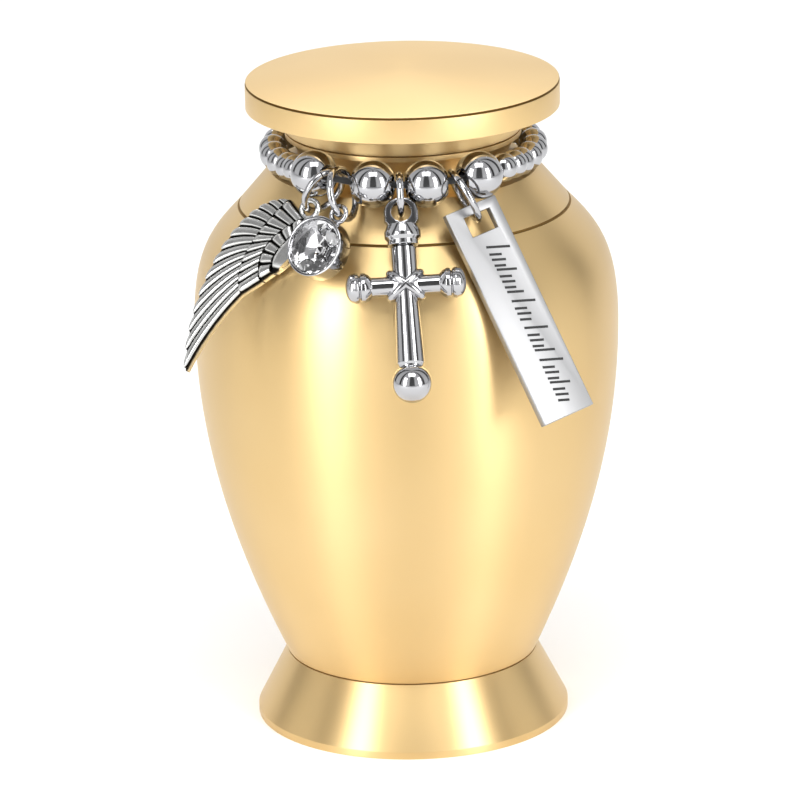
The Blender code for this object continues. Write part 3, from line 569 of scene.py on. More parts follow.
def cord_point(angle):
    """A point of the bracelet's cord, at an angle from the front towards +X."""
    front_reach, front_level = FRONT_PLACE
    back_reach = CREST_RADIUS - BACK_INSET
    back_level = CREST_HEIGHT + BACK_RISE
    turn = abs(math.remainder(angle, math.tau))
    share = min(max((SIDE_ANGLE - turn) / (SIDE_ANGLE - FRONT_ANGLE), 0), 1)
    share = share * share * (3 - 2 * share)     # eased at both ends
    reach = back_reach + (front_reach - back_reach) * share
    level = back_level + (front_level + SIDE_LIFT * math.sin(turn) ** 2 - back_level) * share
    return Vector((reach * math.sin(angle), -reach * math.cos(angle), level))


CORD_STEPS = 2880
CORD_TABLE = [0.0]
for step in range(CORD_STEPS):
    CORD_TABLE.append(CORD_TABLE[-1] + (cord_point(math.tau * (step + 1) / CORD_STEPS)
                                        - cord_point(math.tau * step / CORD_STEPS)).length)
CORD_LENGTH = CORD_TABLE[-1]


def on_cord(place):
    """The point at this place along the cord from the front, and the cord's direction there."""
    place %= CORD_LENGTH
    angle = float(np.interp(place, CORD_TABLE, np.linspace(0, math.tau, CORD_STEPS + 1)))
    step = math.tau / CORD_STEPS
    return cord_point(angle), (cord_point(angle + step) - cord_point(angle - step)).normalized()


def large_places():
    """Where the four large beads sit along the cord, from left to right."""
    second = CROSS_PLACE - (LARGE_LENGTH + CROSS_SPACE) / 2
    third = CROSS_PLACE + (LARGE_LENGTH + CROSS_SPACE) / 2
    return [second - LARGE_LENGTH - PAIR_SPACE, second, third, third + LARGE_LENGTH + TAG_SPACE]


def small_places():
    """Where the small beads sit: as many as fill the rest of the cord."""
    places = large_places()
    start = places[-1] + LARGE_LENGTH / 2 + END_SPACE
    stretch = CORD_LENGTH + places[0] - LARGE_LENGTH / 2 - END_SPACE - start
    count = int((stretch + BEAD_SPACE) / (SMALL_LENGTH + BEAD_SPACE))
    pitch = (stretch - SMALL_LENGTH) / (count - 1)
    return [start + SMALL_LENGTH / 2 + pitch * number for number in range(count)]


def ring_places():
    """The middles between the large beads where jump rings hang: the cross's, the tag's and the pair's."""
    places = large_places()
    return CROSS_PLACE, (places[2] + places[3]) / 2, (places[0] + places[1]) / 2


def lean_frame(facing):
    """Right, up and front of a charm that faces this way from the axis and leans out at its foot."""
    front = Vector((math.sin(facing) * math.cos(LEAN), -math.cos(facing) * math.cos(LEAN), math.sin(LEAN)))
    right = Vector((math.cos(facing), math.sin(facing), 0))
    return right, front.cross(right), front


def hang_point(place, shift, drop, facing, back):
    """Where a charm hangs: along the cord and below it, and so far out that its back clears the shoulder."""
    point, along = on_cord(place)
    outward = Vector((along.y, -along.x, 0)).normalized()
    start = point + shift * along - Vector((0, 0, drop))
    front = lean_frame(facing)[2]
    reach = (shoulder() + GAP + ROUND_CLEARANCE + back - start.dot(front)) / outward.dot(front)
    return start + reach * outward


def charm_matrix(hang, facing, spin):
    """A charm's own axes in the world: x to its right, z up along it, -y to its front."""
    right, up, front = lean_frame(facing)
    axes = Matrix((right, -front, up)).transposed().to_4x4()
    return Matrix.Translation(hang) @ axes @ Matrix.Rotation(spin, 4, "Y")


def cross_matrix():
    """Where the cross and its cap hang."""
    return charm_matrix(hang_point(ring_places()[0], CROSS_SHIFT, CROSS_DROP, 0, CROSS_BACK), 0, CROSS_SPIN)


def tag_matrix():
    """Where the bar tag hangs, from the middle of its slot."""
    return charm_matrix(hang_point(ring_places()[1], TAG_SHIFT, TAG_DROP, TAG_FACING, TAG_THICKNESS / 2),
                        TAG_FACING, TAG_SPIN)


def wing_matrix():
    """Where the wing hangs, from the middle of its eyelet."""
    return charm_matrix(hang_point(ring_places()[2], WING_SHIFT, WING_DROP, WING_FACING, WING_BACK),
                        WING_FACING, 0)


def crystal_matrix():
    """Where the crystal hangs, in front of the wing, from the middle of its loop."""
    back = WING_BACK + INNER_RELIEF + GAP + LOOP_WIRE
    return charm_matrix(hang_point(ring_places()[2], CRYSTAL_SHIFT, CRYSTAL_DROP, WING_FACING, back),
                        WING_FACING, CRYSTAL_SPIN)


# Pieces

class KEEPSAKE_OT_turned_pieces(bpy.types.Operator):
    """Makes the foot, the hollow body and the lid, turned from gold anodised aluminium"""
    bl_idname = "keepsake.turned_pieces"
    bl_label = "Foot, body and lid"

    def execute(self, context):
        sizes, colors = context.scene.keepsake_sizes, context.scene.keepsake_colors
        turned = gold_anodised_aluminium(colors)
        blasted = gold_anodised_aluminium(colors, "gold_anodised_blasted_aluminium", drawn_out=0.15)
        groove_shade_look = painted_groove_shade(colors)
        for name, node, profile, look in (("foot_turned", "foot", self.foot(), turned),
                                          ("body_turned", "urn_body", self.body(), turned),
                                          ("lid_turned", "lid", self.lid(), blasted)):
            bm = bmesh.new()
            add_lathe(bm, rounded(profile, sizes.edge), sizes.turns)
            # faces in the lid's groove and the shoulder's line get the material with the painted shade
            grooved = [face for face in bm.faces if self.in_groove(face.calc_center_median())]
            for face in grooved:
                face.material_index = 1
            made = piece(name, bm, look, (node,))
            if grooved:
                made.data.materials.append(groove_shade_look)
        return {"FINISHED"}

    @staticmethod
    def in_groove(middle):
        """Whether a face's middle lies in the groove under the dome or in the line round the shoulder, where
        the painted shade goes.
        """
        # an outermost share of the depth stays bright, where the groove's edges are broken
        bright, slack = 0.12, 1.1
        radius = middle.xy.length
        rim_top = MOUTH_HEIGHT + SEAT + COLLAR_HEIGHT + RIM_BAND
        in_lid = (RIM_RADIUS - slack * GROOVE_DEPTH < radius < RIM_RADIUS - bright * GROOVE_DEPTH
                  and rim_top < middle.z < rim_top + GROOVE_WIDTH)
        in_line = (LINE_RADIUS - LINE_WIDTH - LINE_DEPTH < radius < LINE_RADIUS
                   and LINE_HEIGHT - LINE_DEPTH < middle.z < LINE_HEIGHT + LINE_WIDTH
                   and radius + middle.z < LINE_RADIUS + LINE_HEIGHT - bright * LINE_DEPTH)
        return in_lid or in_line

    @staticmethod
    def foot():
        """The flared foot's profile."""
        return [(0, FOOT_HEIGHT), (WAIST_RADIUS, FOOT_HEIGHT), (FOOT_RADIUS, FOOT_BAND), (FOOT_RADIUS, 0),
                (0, 0)]

    @staticmethod
    def body():
        """The hollow body's profile, from the chamber's floor over the lip and down to the underside."""
        floor = FOOT_HEIGHT + SEAT + FLOOR
        top = MOUTH_HEIGHT - LIP_BAND
        cove = bezier((LIP_RADIUS - LIP_STEP, top), (NECK_RADIUS, top - COVE_FALL * (top - CREST_HEIGHT)),
                      (NECK_RADIUS, CREST_HEIGHT), (CREST_RADIUS, CREST_HEIGHT), count=16)
        slope = math.atan2(LINE_HEIGHT - CREST_HEIGHT, LINE_RADIUS - CREST_RADIUS)
        along = Vector((math.cos(slope), math.sin(slope)))
        line = Vector((LINE_RADIUS, LINE_HEIGHT))
        notch = [line - LINE_WIDTH * along,
                 line - LINE_WIDTH / 2 * along + LINE_DEPTH * Vector((along.y, -along.x))]
        sides = upper_wall(24) + lower_wall(40)[1:]
        inside = []
        for i, point in enumerate(sides):
            run = (Vector(sides[min(i + 1, len(sides) - 1)]) - Vector(sides[max(i - 1, 0)])).normalized()
            place = Vector(point) + WALL * Vector((run.y, -run.x))
            if place.y > floor + WALL:
                inside.append(place)
        corner = [(inside[-1].x - WALL, floor)]
        mouth = [(BORE_RADIUS, CREST_HEIGHT - WALL), (BORE_RADIUS, MOUTH_HEIGHT)]
        outside = [(LIP_RADIUS, MOUTH_HEIGHT), (LIP_RADIUS, top)] + cove[1:] + notch + sides
        return [(0, floor)] + corner + inside[::-1] + mouth + outside + [(0, FOOT_HEIGHT + SEAT)]

    @staticmethod
    def lid():
        """The lid's profile: dome, groove, rim, collar and plug."""
        seat = MOUTH_HEIGHT + SEAT
        rim_low = seat + COLLAR_HEIGHT
        rim_top = rim_low + RIM_BAND
        dome_edge = rim_top + GROOVE_WIDTH
        plug = BORE_RADIUS - PLUG_CLEARANCE
        steps = 24
        dome = [(RIM_RADIUS * i / steps, dome_edge + DOME_RISE * (1 - (i / steps) ** 2))
                for i in range(steps + 1)]
        collar = bezier((COLLAR_RADIUS, rim_low),
                        (COLLAR_RADIUS - COLLAR_INSET, seat + COLLAR_HEIGHT * COLLAR_UPPER),
                        (COLLAR_RADIUS - COLLAR_INSET, seat + COLLAR_HEIGHT * COLLAR_LOWER),
                        (LIP_RADIUS, seat), count=10)
        return (dome + [(RIM_RADIUS - GROOVE_DEPTH, rim_top + GROOVE_WIDTH / 2), (RIM_RADIUS, rim_top),
                        (RIM_RADIUS, rim_low)] + collar
                + [(plug, seat), (plug, seat - PLUG_LENGTH), (0, seat - PLUG_LENGTH)])


class KEEPSAKE_OT_bracelet(bpy.types.Operator):
    """Makes the elastic cord and strings the polished steel beads on it"""
    bl_idname = "keepsake.bracelet"
    bl_label = "Bracelet"

    def execute(self, context):
        colors, steps = context.scene.keepsake_colors, context.scene.keepsake_sizes.bead_turns
        steel = polished_steel(colors)
        points = 240
        bm = bmesh.new()
        add_tube(bm, [cord_point(math.tau * i / points) for i in range(points)], CORD_RADIUS)
        piece("elastic_cord", bm, elastic_cord(colors), ("bracelet_cord",))
        for number, place in enumerate(large_places(), 1):
            self.bead(f"bead_large_{number}", f"large_bead_{number}", place,
                      LARGE_BEAD, LARGE_LENGTH, LARGE_BORE, steps, steel)
        for number, place in enumerate(small_places(), 1):
            self.bead(f"bead_small_{number:02d}", f"small_bead_{number:02d}", place,
                      SMALL_BEAD, SMALL_LENGTH, SMALL_BORE, steps, steel)
        return {"FINISHED"}

    @staticmethod
    def bead(name, node, place, radius, length, bore, steps, look):
        """One drilled ball with flattened ends, on the cord."""
        half = length / 2
        widest = math.asin(half / radius)
        arc = [(radius * math.cos(a), radius * math.sin(a))
               for a in np.linspace(widest, -widest, steps // 2 + 1)]
        # the drill's mouth is broken by a small share of the wall
        edge = (radius - bore) * 0.05
        profile = ([(bore, half - edge), (bore + edge, half)] + arc
                   + [(bore + edge, -half), (bore, edge - half)])
        point, along = on_cord(place)
        turned = along.to_track_quat("Z", "Y").to_matrix().to_4x4()
        bm = bmesh.new()
        add_lathe(bm, profile, steps, Matrix.Translation(point) @ turned, loop=True)
        piece(name, bm, look, (node,))


class KEEPSAKE_OT_jump_rings(bpy.types.Operator):
    """Makes the four steel jump rings, each cut and closed again"""
    bl_idname = "keepsake.jump_rings"
    bl_label = "Jump rings"

    def execute(self, context):
        look = polished_steel(context.scene.keepsake_colors)
        cross_gap, tag_gap, pair_gap = ring_places()
        tag_slot = tag_matrix() @ Vector((0, 0, SLOT_HEIGHT / 2 - RING_WIRE - SLOT_CLEARANCE))
        tag_place = tag_gap + TAG_ASIDE - TAG_RING_APART
        wing_place = pair_gap + WING_ASIDE - PAIR_RING_APART
        crystal_place = pair_gap + CRYSTAL_ASIDE
        for name, place, hang, facing, twist, out in (
                ("cross_ring", cross_gap, cross_matrix().translation, 0, 0, 0),
                ("tag_ring", tag_place, tag_slot, TAG_FACING, TAG_RING_TWIST, TAG_RING_OUT),
                ("wing_ring", wing_place, wing_matrix().translation, WING_FACING, 0, 0),
                ("crystal_ring", crystal_place, crystal_matrix().translation, WING_FACING, 0, 0)):
            self.ring(name, place, hang, facing, twist, out, look)
        return {"FINISHED"}

    @staticmethod
    def ring(node, place, hang, facing, twist, out, look):
        """One jump ring round the cord and through a charm's hole."""
        point = on_cord(place)[0]
        toward = (point - hang).normalized()
        radius = ((point - hang).length + RING_WIRE + CORD_RADIUS + RING_SLACK) / 2
        axis = Matrix.Rotation(twist, 3, toward) @ toward.cross(lean_frame(facing)[2]).normalized()
        across = axis.cross(toward)
        middle = hang + radius * toward + out * lean_frame(facing)[2]
        cut = RING_CUT / radius / 2
        bm = bmesh.new()
        points = [middle + radius * (math.cos(a) * across + math.sin(a) * toward)
                  for a in np.linspace(RING_START + cut, RING_END - cut, 97)]
        add_tube(bm, points, RING_WIRE, sides=16, closed=False)
        piece(node.replace("_ring", "_jump_ring"), bm, look, (node,), smooth_degrees=50)


class KEEPSAKE_OT_cross(bpy.types.Operator):
    """Makes the cross and the drilled screw cap that it hangs from"""
    bl_idname = "keepsake.cross"
    bl_label = "Cross"

    def execute(self, context):
        look = polished_steel(context.scene.keepsake_colors)
        matrix = cross_matrix()
        self.cap(matrix, look)
        bm = bmesh.new()
        add_lathe(bm, self.stem(), 64, matrix)
        middle = matrix @ Matrix.Translation((0, 0, ARM_LEVEL))
        half = self.knob()
        arms = half + [(radius, -height) for radius, height in half[::-1]]
        add_lathe(bm, rounded(arms, BROKEN_EDGE, 3), 48, middle @ Matrix.Rotation(math.pi / 2, 4, "Y"))
        self.hub(bm, middle)
        for side in (-1, 1):
            self.band(bm, middle, side)
        piece("cross_cast", bm, look, ("cross",), smooth_degrees=40)
        return {"FINISHED"}

    @staticmethod
    def stem():
        """The upright's profile: post, stub, tapered shaft and ball."""
        top = CAP_BOTTOM - SEAT
        neck = BALL_LEVEL + BALL_RADIUS
        ball_start, ball_end = math.radians(52), -math.pi / 2 + 0.02
        ball = [(BALL_RADIUS * math.cos(a), BALL_LEVEL + BALL_RADIUS * math.sin(a))
                for a in np.linspace(ball_start, ball_end, 20)]
        shaft = [(SHAFT_TOP_RADIUS + (SHAFT_RADIUS - SHAFT_TOP_RADIUS) * t,
                  ARM_LEVEL + (neck - ARM_LEVEL) * t) for t in np.linspace(0, 1, 10)]
        # a small step between shaft and ball
        collar = [(SHAFT_RADIUS * 0.93, neck - BROKEN_EDGE), (ball[0][0], ball[0][1] + 0.08 * MM)]
        return ([(0, top + POST_LENGTH), (POST_RADIUS, top + POST_LENGTH), (POST_RADIUS, top),
                 (STUB_RADIUS - BROKEN_EDGE, top), (STUB_RADIUS, top - BROKEN_EDGE),
                 (STUB_RADIUS, top * 0.4 + ARM_LEVEL * 0.6)]
                + shaft + collar + ball + [(0, BALL_LEVEL - BALL_RADIUS)])

    @staticmethod
    def knob():
        """One end of the arms, from its tip inwards: a rounded nose, a groove and a second bead."""
        tip = ARM_REACH
        groove, rim, bed = tip - KNOB_LENGTH * 0.55, 0.13 * MM, 0.04 * MM
        nose = [(KNOB_RADIUS * 0.95 * math.sin(a), tip - KNOB_LENGTH * 0.3 * (1 - math.cos(a)))
                for a in np.linspace(0, math.pi / 2, 9)]
        return nose + [(KNOB_RADIUS, tip - KNOB_LENGTH * 0.38), (KNOB_RADIUS * 0.95, groove + rim),
                       (KNOB_RADIUS * 0.8, groove + bed), (KNOB_RADIUS * 0.8, groove - bed),
                       (KNOB_RADIUS * 0.95, groove - rim), (KNOB_RADIUS * 0.97, tip - KNOB_LENGTH * 0.75),
                       (KNOB_RADIUS * 0.85, tip - KNOB_LENGTH * 0.88), (ARM_RADIUS, tip - KNOB_LENGTH)]

    @staticmethod
    def hub(bm, middle):
        """The swelling under the crossed bands."""
        half = (WRAP_WIDTH * 0.55, CROSS_BACK - WRAP_CORD * 0.8, WRAP_HEIGHT * 0.59)
        ball = [(math.sin(a), math.cos(a)) for a in np.linspace(0, math.pi, 25)]
        add_lathe(bm, ball, 48, middle @ Matrix.Diagonal((*half, 1)))

    @staticmethod
    def band(bm, middle, side):
        """One of the two bands crossed over the middle."""
        slope = math.atan2(WRAP_HEIGHT, WRAP_WIDTH)
        reach = math.hypot(WRAP_WIDTH, WRAP_HEIGHT) / 2 - WRAP_CORD
        depth = CROSS_BACK - WRAP_CORD
        points, count = [], 64
        for i in range(count):
            angle = math.tau * i / count
            across = reach * math.cos(angle)
            points.append(middle @ Vector((across * math.cos(slope), depth * math.sin(angle),
                                           side * across * math.sin(slope))))
        add_tube(bm, points, WRAP_CORD)

    @staticmethod
    def cap(matrix, look):
        """The turned cap with its flat drilled lug and the socket for the cross's post."""
        ridge = (CAP_WAIST + CAP_BOTTOM) / 2
        dome, neck = CAP_RADIUS * 0.97, CAP_RADIUS * 0.84
        socket, socket_end = POST_RADIUS + POST_CLEARANCE, CAP_BOTTOM + POST_LENGTH + POST_CLEARANCE
        profile = [(dome * math.sin(a), CAP_TOP * math.cos(a)) for a in np.linspace(0, math.pi / 2, 16)]
        profile += [(dome, CAP_WAIST * 0.7), (neck, CAP_WAIST), (CAP_RADIUS, ridge * 0.86),
                    (CAP_RADIUS, ridge * 1.1), (neck, ridge * 1.25), (neck, CAP_BOTTOM), (socket, CAP_BOTTOM),
                    (socket, socket_end), (0, socket_end)]
        bm = bmesh.new()
        add_lathe(bm, rounded(profile, BROKEN_EDGE, 3), 64, matrix)
        cap = piece("cross_screw_cap", bm, look, ("cross_cap",), smooth_degrees=35)
        tools = []
        height = CAP_TOP - CAP_WAIST
        for side in (-1, 1):
            middle = (0, side * (LUG_THICKNESS / 2 + CAP_RADIUS), CAP_WAIST + height)
            tool = bmesh.new()
            add_box(tool, (4 * CAP_RADIUS, 2 * CAP_RADIUS, 2 * height), matrix @ Matrix.Translation(middle))
            tools.append(tool)
        drill = bmesh.new()
        bmesh.ops.create_cone(drill, cap_ends=True, segments=48, radius1=CAP_HOLE, radius2=CAP_HOLE,
                              depth=4 * CAP_RADIUS, matrix=matrix @ Matrix.Rotation(math.pi / 2, 4, "X"))
        tools.append(drill)
        cut_with(cap, tools, edge=0.07 * MM)


def cut_with(obj, tools, edge):
    """Cuts a piece with bmesh tools, breaks its sharp edges and keeps the result as its mesh."""
    cutters = []
    for bm in tools:
        bmesh.ops.recalc_face_normals(bm, faces=bm.faces)
        mesh = bpy.data.meshes.new("cutter")
        bm.to_mesh(mesh)
        bm.free()
        cutter = bpy.data.objects.new("cutter", mesh)
        bpy.context.scene.collection.objects.link(cutter)
        modifier = obj.modifiers.new("cut", "BOOLEAN")
        modifier.operation = "DIFFERENCE"
        modifier.solver = "EXACT"
        modifier.object = cutter
        cutters.append(cutter)
    bevel = obj.modifiers.new("edge", "BEVEL")
    bevel.width = edge
    bevel.segments = 3
    bevel.limit_method = "ANGLE"
    bevel.angle_limit = math.radians(40)
    depsgraph = bpy.context.evaluated_depsgraph_get()
    mesh = bpy.data.meshes.new_from_object(obj.evaluated_get(depsgraph))
    obj.modifiers.clear()
    obj.data = mesh
    mesh.name = obj.name
    mesh.shade_smooth()
    mesh.set_sharp_from_angle(angle=math.radians(35))
    for cutter in cutters:
        bpy.data.objects.remove(cutter)


class KEEPSAKE_OT_bar_tag(bpy.types.Operator):
    """Makes the flat steel tag with its slot and its row of black strokes"""
    bl_idname = "keepsake.bar_tag"
    bl_label = "Bar tag"

    def execute(self, context):
        colors, matrix = context.scene.keepsake_colors, tag_matrix()
        top = SLOT_HEIGHT / 2 + SLOT_MARGIN
        bm = bmesh.new()
        add_box(bm, (TAG_WIDTH, TAG_THICKNESS, TAG_LENGTH), matrix @ Matrix.Translation(
            (-SLOT_ASIDE, 0, top - TAG_LENGTH / 2)))
        tag = piece("bar_tag_sheet", bm, brushed_steel(colors), ("bar_tag",))
        slot = bmesh.new()
        add_box(slot, (SLOT_WIDTH, 4 * TAG_THICKNESS, SLOT_HEIGHT), matrix)
        cut_with(tag, [slot], TAG_EDGE)
        self.lay_out(tag, matrix)
        self.strokes(context, matrix, top)
        return {"FINISHED"}

    @staticmethod
    def lay_out(tag, matrix):
        """UVs in metres along the tag's own width and length, for its brushing."""
        back = matrix.inverted()
        layer = tag.data.uv_layers.new(name="brush")
        for loop in tag.data.loops:
            place = back @ tag.data.vertices[loop.vertex_index].co
            layer.data[loop.index].uv = (place.x, place.z)

    @staticmethod
    def strokes(context, matrix, top):
        """Groups of slanted strokes of uneven length down the bar, shallow and filled with black."""
        width = context.scene.keepsake_sizes.stroke
        groups, space = (9, 4, 5, 8), 0.9
        lengths, usual = (2.7, 1.4, 1.6, 1.3, 2.3, 1.4, 1.5, 1.3, 1.9), 1.5 * MM
        depth, pitch, slant = 0.03 * MM, 0.62 * MM, math.radians(18)
        middle = -SLOT_ASIDE + 0.25 * MM
        level = top - 5.1 * MM
        bm = bmesh.new()
        for count in groups:
            for i in range(count):
                length = lengths[i % len(lengths)] * MM
                at = Matrix.Translation((middle + (length - usual) / 2, -TAG_THICKNESS / 2, level))
                add_box(bm, (length, depth, width), matrix @ at @ Matrix.Rotation(slant, 4, "Y"))
                level -= pitch
            level -= pitch * space
        piece("tag_strokes", bm, black_enamel(context.scene.keepsake_colors))


def wing_line(start, start_handle, end_handle, end):
    """A curved line of the wing, drawn as four points, as a function of the share along it."""
    points = (start, start_handle, end_handle, end)

    def at(share):
        return Vector([c * WING_LENGTH / DRAWN_LENGTH for c in cubic(points, share)])
    return at


DRAWN_LENGTH = 19.3
TIP_LINE = wing_line((-2.9, 0.6), (-8.6, 0.6), (-12.6, -10.5), (-9.9, -19.3))
ROOT_LINE = wing_line((-2.6, 0.65), (-4.9, -2.2), (-7.7, -6.9), (-5.5, -9.9))
COVERT_LINE = wing_line((-0.25, -1.1), (-2.6, -2.6), (-5.3, -4.9), (-3.5, -8.3))
INNER_LINE = wing_line((-0.1, -2.2), (-1.6, -3.7), (-3.1, -5.2), (-2.45, -7.3))
LOBE_LINE = wing_line((0.35, -2.5), (0.6, -3.7), (0.0, -5.3), (-2.1, -7.15))


class KEEPSAKE_OT_wing(bpy.types.Operator):
    """Makes the wing charm: rows of rounded feathers on a flat back, with its eyelet"""
    bl_idname = "keepsake.wing"
    bl_label = "Wing"

    def execute(self, context):
        matrix = wing_matrix()
        bm = bmesh.new()
        groove = bm.verts.layers.float.new("groove")
        rows = ((ROOT_LINE, TIP_LINE, FLIGHT_FEATHERS, FEATHER_RELIEF, WING_SWEEP, 28),
                (COVERT_LINE, lambda s: ROOT_LINE(s) * 1.01, OUTER_COVERTS, COVERT_RELIEF, 0.0, 12),
                (INNER_LINE, lambda s: COVERT_LINE(s) * 0.99, INNER_COVERTS, INNER_RELIEF, 0.0, 12),
                (LOBE_LINE, lambda s: INNER_LINE(s) * 0.99, 1, COVERT_RELIEF, 0.0, 12))
        for roots, tips, count, relief, sweep, along in rows:
            self.ground(bm, groove, matrix, roots, tips, count, relief, sweep)
            for k in range(count):
                self.feather(bm, groove, matrix, roots, tips, k / count, (k + 1) / count, relief, sweep,
                             along)
        add_tube(bm, circle(matrix, EYELET_RADIUS, 64), EYELET_WIRE, sides=16)
        piece("wing_casting", bm, antiqued_silver(context.scene.keepsake_colors), ("wing",),
              smooth_degrees=60)
        return {"FINISHED"}

    @staticmethod
    def line(roots, tips, share, sweep, t):
        """A point on the feather line of a share, from its root to its tip."""
        root, tip = roots(share), tips(share)
        way = tip - root
        side = Vector((way.y, -way.x)).normalized()
        middle = (root + tip) / 2 - side * (2 * sweep * way.length)
        return root * (1 - t) ** 2 + middle * (2 * t * (1 - t)) + tip * t ** 2

    @classmethod
    def ground(cls, bm, groove, matrix, roots, tips, count, relief, sweep, along=16):
        """The thin cast web under a row, black where it shows between the feathers."""
        lines = max(count * 2, 8)
        height = relief * 0.35
        front, back = [], []
        for k in range(lines + 1):
            places = [cls.line(roots, tips, k / lines, sweep, 0.96 * j / along) for j in range(along + 1)]
            front.append([bm.verts.new(matrix @ Vector((p.x, -height, p.y))) for p in places])
            back.append([bm.verts.new(matrix @ Vector((p.x, WING_BACK, p.y))) for p in places])
        for row in front:
            for vert in row:
                vert[groove] = 1.0
        for k in range(lines):
            for j in range(along):
                bm.faces.new((front[k][j], front[k][j + 1], front[k + 1][j + 1], front[k + 1][j]))
                bm.faces.new((back[k][j], back[k + 1][j], back[k + 1][j + 1], back[k][j + 1]))
            for j in (0, along):
                bm.faces.new((front[k][j], front[k + 1][j], back[k + 1][j], back[k][j]))
        for k in (0, lines):
            for j in range(along):
                bm.faces.new((front[k][j], front[k][j + 1], back[k][j + 1], back[k][j]))

    @classmethod
    def feather(cls, bm, groove, matrix, roots, tips, low, high, relief, sweep, along, across=12):
        """One feather: crowned across and round at its tip."""
        sink, thickness = relief * 0.3, relief * 0.9
        rows = []
        for j in range(along + 1):
            t = math.sin(math.pi / 2 * j / along) if along > 12 else j / along
            past = max(0.0, (t - FEATHER_TIP) / (1 - FEATHER_TIP))
            width = math.sqrt(max(0.0, 1 - past ** 2))
            row = []
            for i in range(across + 1):
                u = 2 * i / across - 1
                share = (low + high) / 2 + (high - low) / 2 * u * max(width, 0.02) * FEATHER_SHARE
                place = cls.line(roots, tips, share, sweep, t)
                crown = math.sqrt(1 - (0.98 * u) ** 4)
                height = sink + (relief - sink) * crown * (0.35 + 0.65 * width)
                vert = bm.verts.new(matrix @ Vector((place.x, -height, place.y)))
                vert[groove] = max(1.1 * abs(u) ** 8, (1 - width) ** 3)
                row.append(vert)
            rows.append(row)
        behind = (matrix.to_3x3() @ Vector((0, 1, 0))) * thickness
        backs = [[bm.verts.new(vert.co + behind) for vert in row] for row in rows]
        for j in range(along):
            for i in range(across):
                bm.faces.new((rows[j][i], rows[j][i + 1], rows[j + 1][i + 1], rows[j + 1][i]))
                bm.faces.new((backs[j][i], backs[j + 1][i], backs[j + 1][i + 1], backs[j][i + 1]))
            for i in (0, across):
                bm.faces.new((rows[j][i], rows[j + 1][i], backs[j + 1][i], backs[j][i]))
        for j in (0, along):
            for i in range(across):
                bm.faces.new((rows[j][i], rows[j][i + 1], backs[j][i + 1], backs[j][i]))


class KEEPSAKE_OT_crystal(bpy.types.Operator):
    """Makes the crystal charm: steel bezel, loop and the cut stone"""
    bl_idname = "keepsake.crystal"
    bl_label = "Crystal"

    def execute(self, context):
        matrix = crystal_matrix()
        seat = matrix @ Matrix.Translation((0, LOOP_WIRE, -BEZEL_RADIUS - LOOP_RADIUS)) @ Matrix.Rotation(
            math.pi / 2, 4, "X")
        look = polished_steel(context.scene.keepsake_colors)
        inner = BEZEL_RADIUS - BEZEL_WALL
        profile = [(0, BEZEL_FLOOR), (inner, BEZEL_FLOOR), (inner, BEZEL_DEPTH), (BEZEL_RADIUS, BEZEL_DEPTH),
                   (BEZEL_RADIUS, 0), (0, 0)]
        bm = bmesh.new()
        add_lathe(bm, rounded(profile, BROKEN_EDGE), 96, seat)
        add_tube(bm, circle(matrix, LOOP_RADIUS, 48), LOOP_WIRE)
        piece("crystal_bezel_turned", bm, look, ("crystal_bezel",))
        self.stone(seat)
        return {"FINISHED"}

    @staticmethod
    def stone(seat):
        """A round brilliant cut: table, stars, kites and girdle facets over the pavilion."""
        radius = BEZEL_RADIUS - BEZEL_WALL - STONE_CLEARANCE
        girdle = BEZEL_DEPTH - STONE_GIRDLE
        culet = BEZEL_FLOOR + STONE_CLEARANCE
        bm = bmesh.new()

        def ring(count, reach, height, turn=0.0):
            return [bm.verts.new(seat @ Vector((reach * math.cos(a), reach * math.sin(a), height)))
                    for a in (math.tau * (k + turn) / count for k in range(count))]

        top = ring(8, radius * STONE_TABLE, girdle + STONE_CROWN)
        star = ring(8, radius * STAR_REACH, girdle + STONE_CROWN * STAR_LEVEL, 0.5)
        upper = ring(16, radius, girdle)
        lower = ring(16, radius, girdle - STONE_GIRDLE)
        deep = girdle - STONE_GIRDLE - culet
        waist = ring(8, radius * PAVILION_REACH, culet + deep * PAVILION_LEVEL, 0.5)
        tip = bm.verts.new(seat @ Vector((0, 0, culet)))
        bm.faces.new(top)
        for k in range(8):
            n, p = (k + 1) % 8, (k - 1) % 8
            bm.faces.new((top[k], star[k], top[n]))
            bm.faces.new((top[k], star[p], upper[2 * k], star[k]))
            bm.faces.new((star[k], upper[2 * k], upper[2 * k + 1]))
            bm.faces.new((star[k], upper[2 * k + 1], upper[(2 * k + 2) % 16]))
            bm.faces.new((waist[k], lower[2 * k], lower[2 * k + 1]))
            bm.faces.new((waist[k], lower[2 * k + 1], lower[(2 * k + 2) % 16]))
            bm.faces.new((tip, waist[p], lower[2 * k], waist[k]))
        for k in range(16):
            bm.faces.new((upper[k], upper[(k + 1) % 16], lower[(k + 1) % 16], lower[k]))
        bmesh.ops.triangulate(bm, faces=[face for face in bm.faces if len(face.verts) == 4])
        piece("crystal_brilliant", bm, clear_crystal(), ("crystal_stone",), smooth_degrees=1)


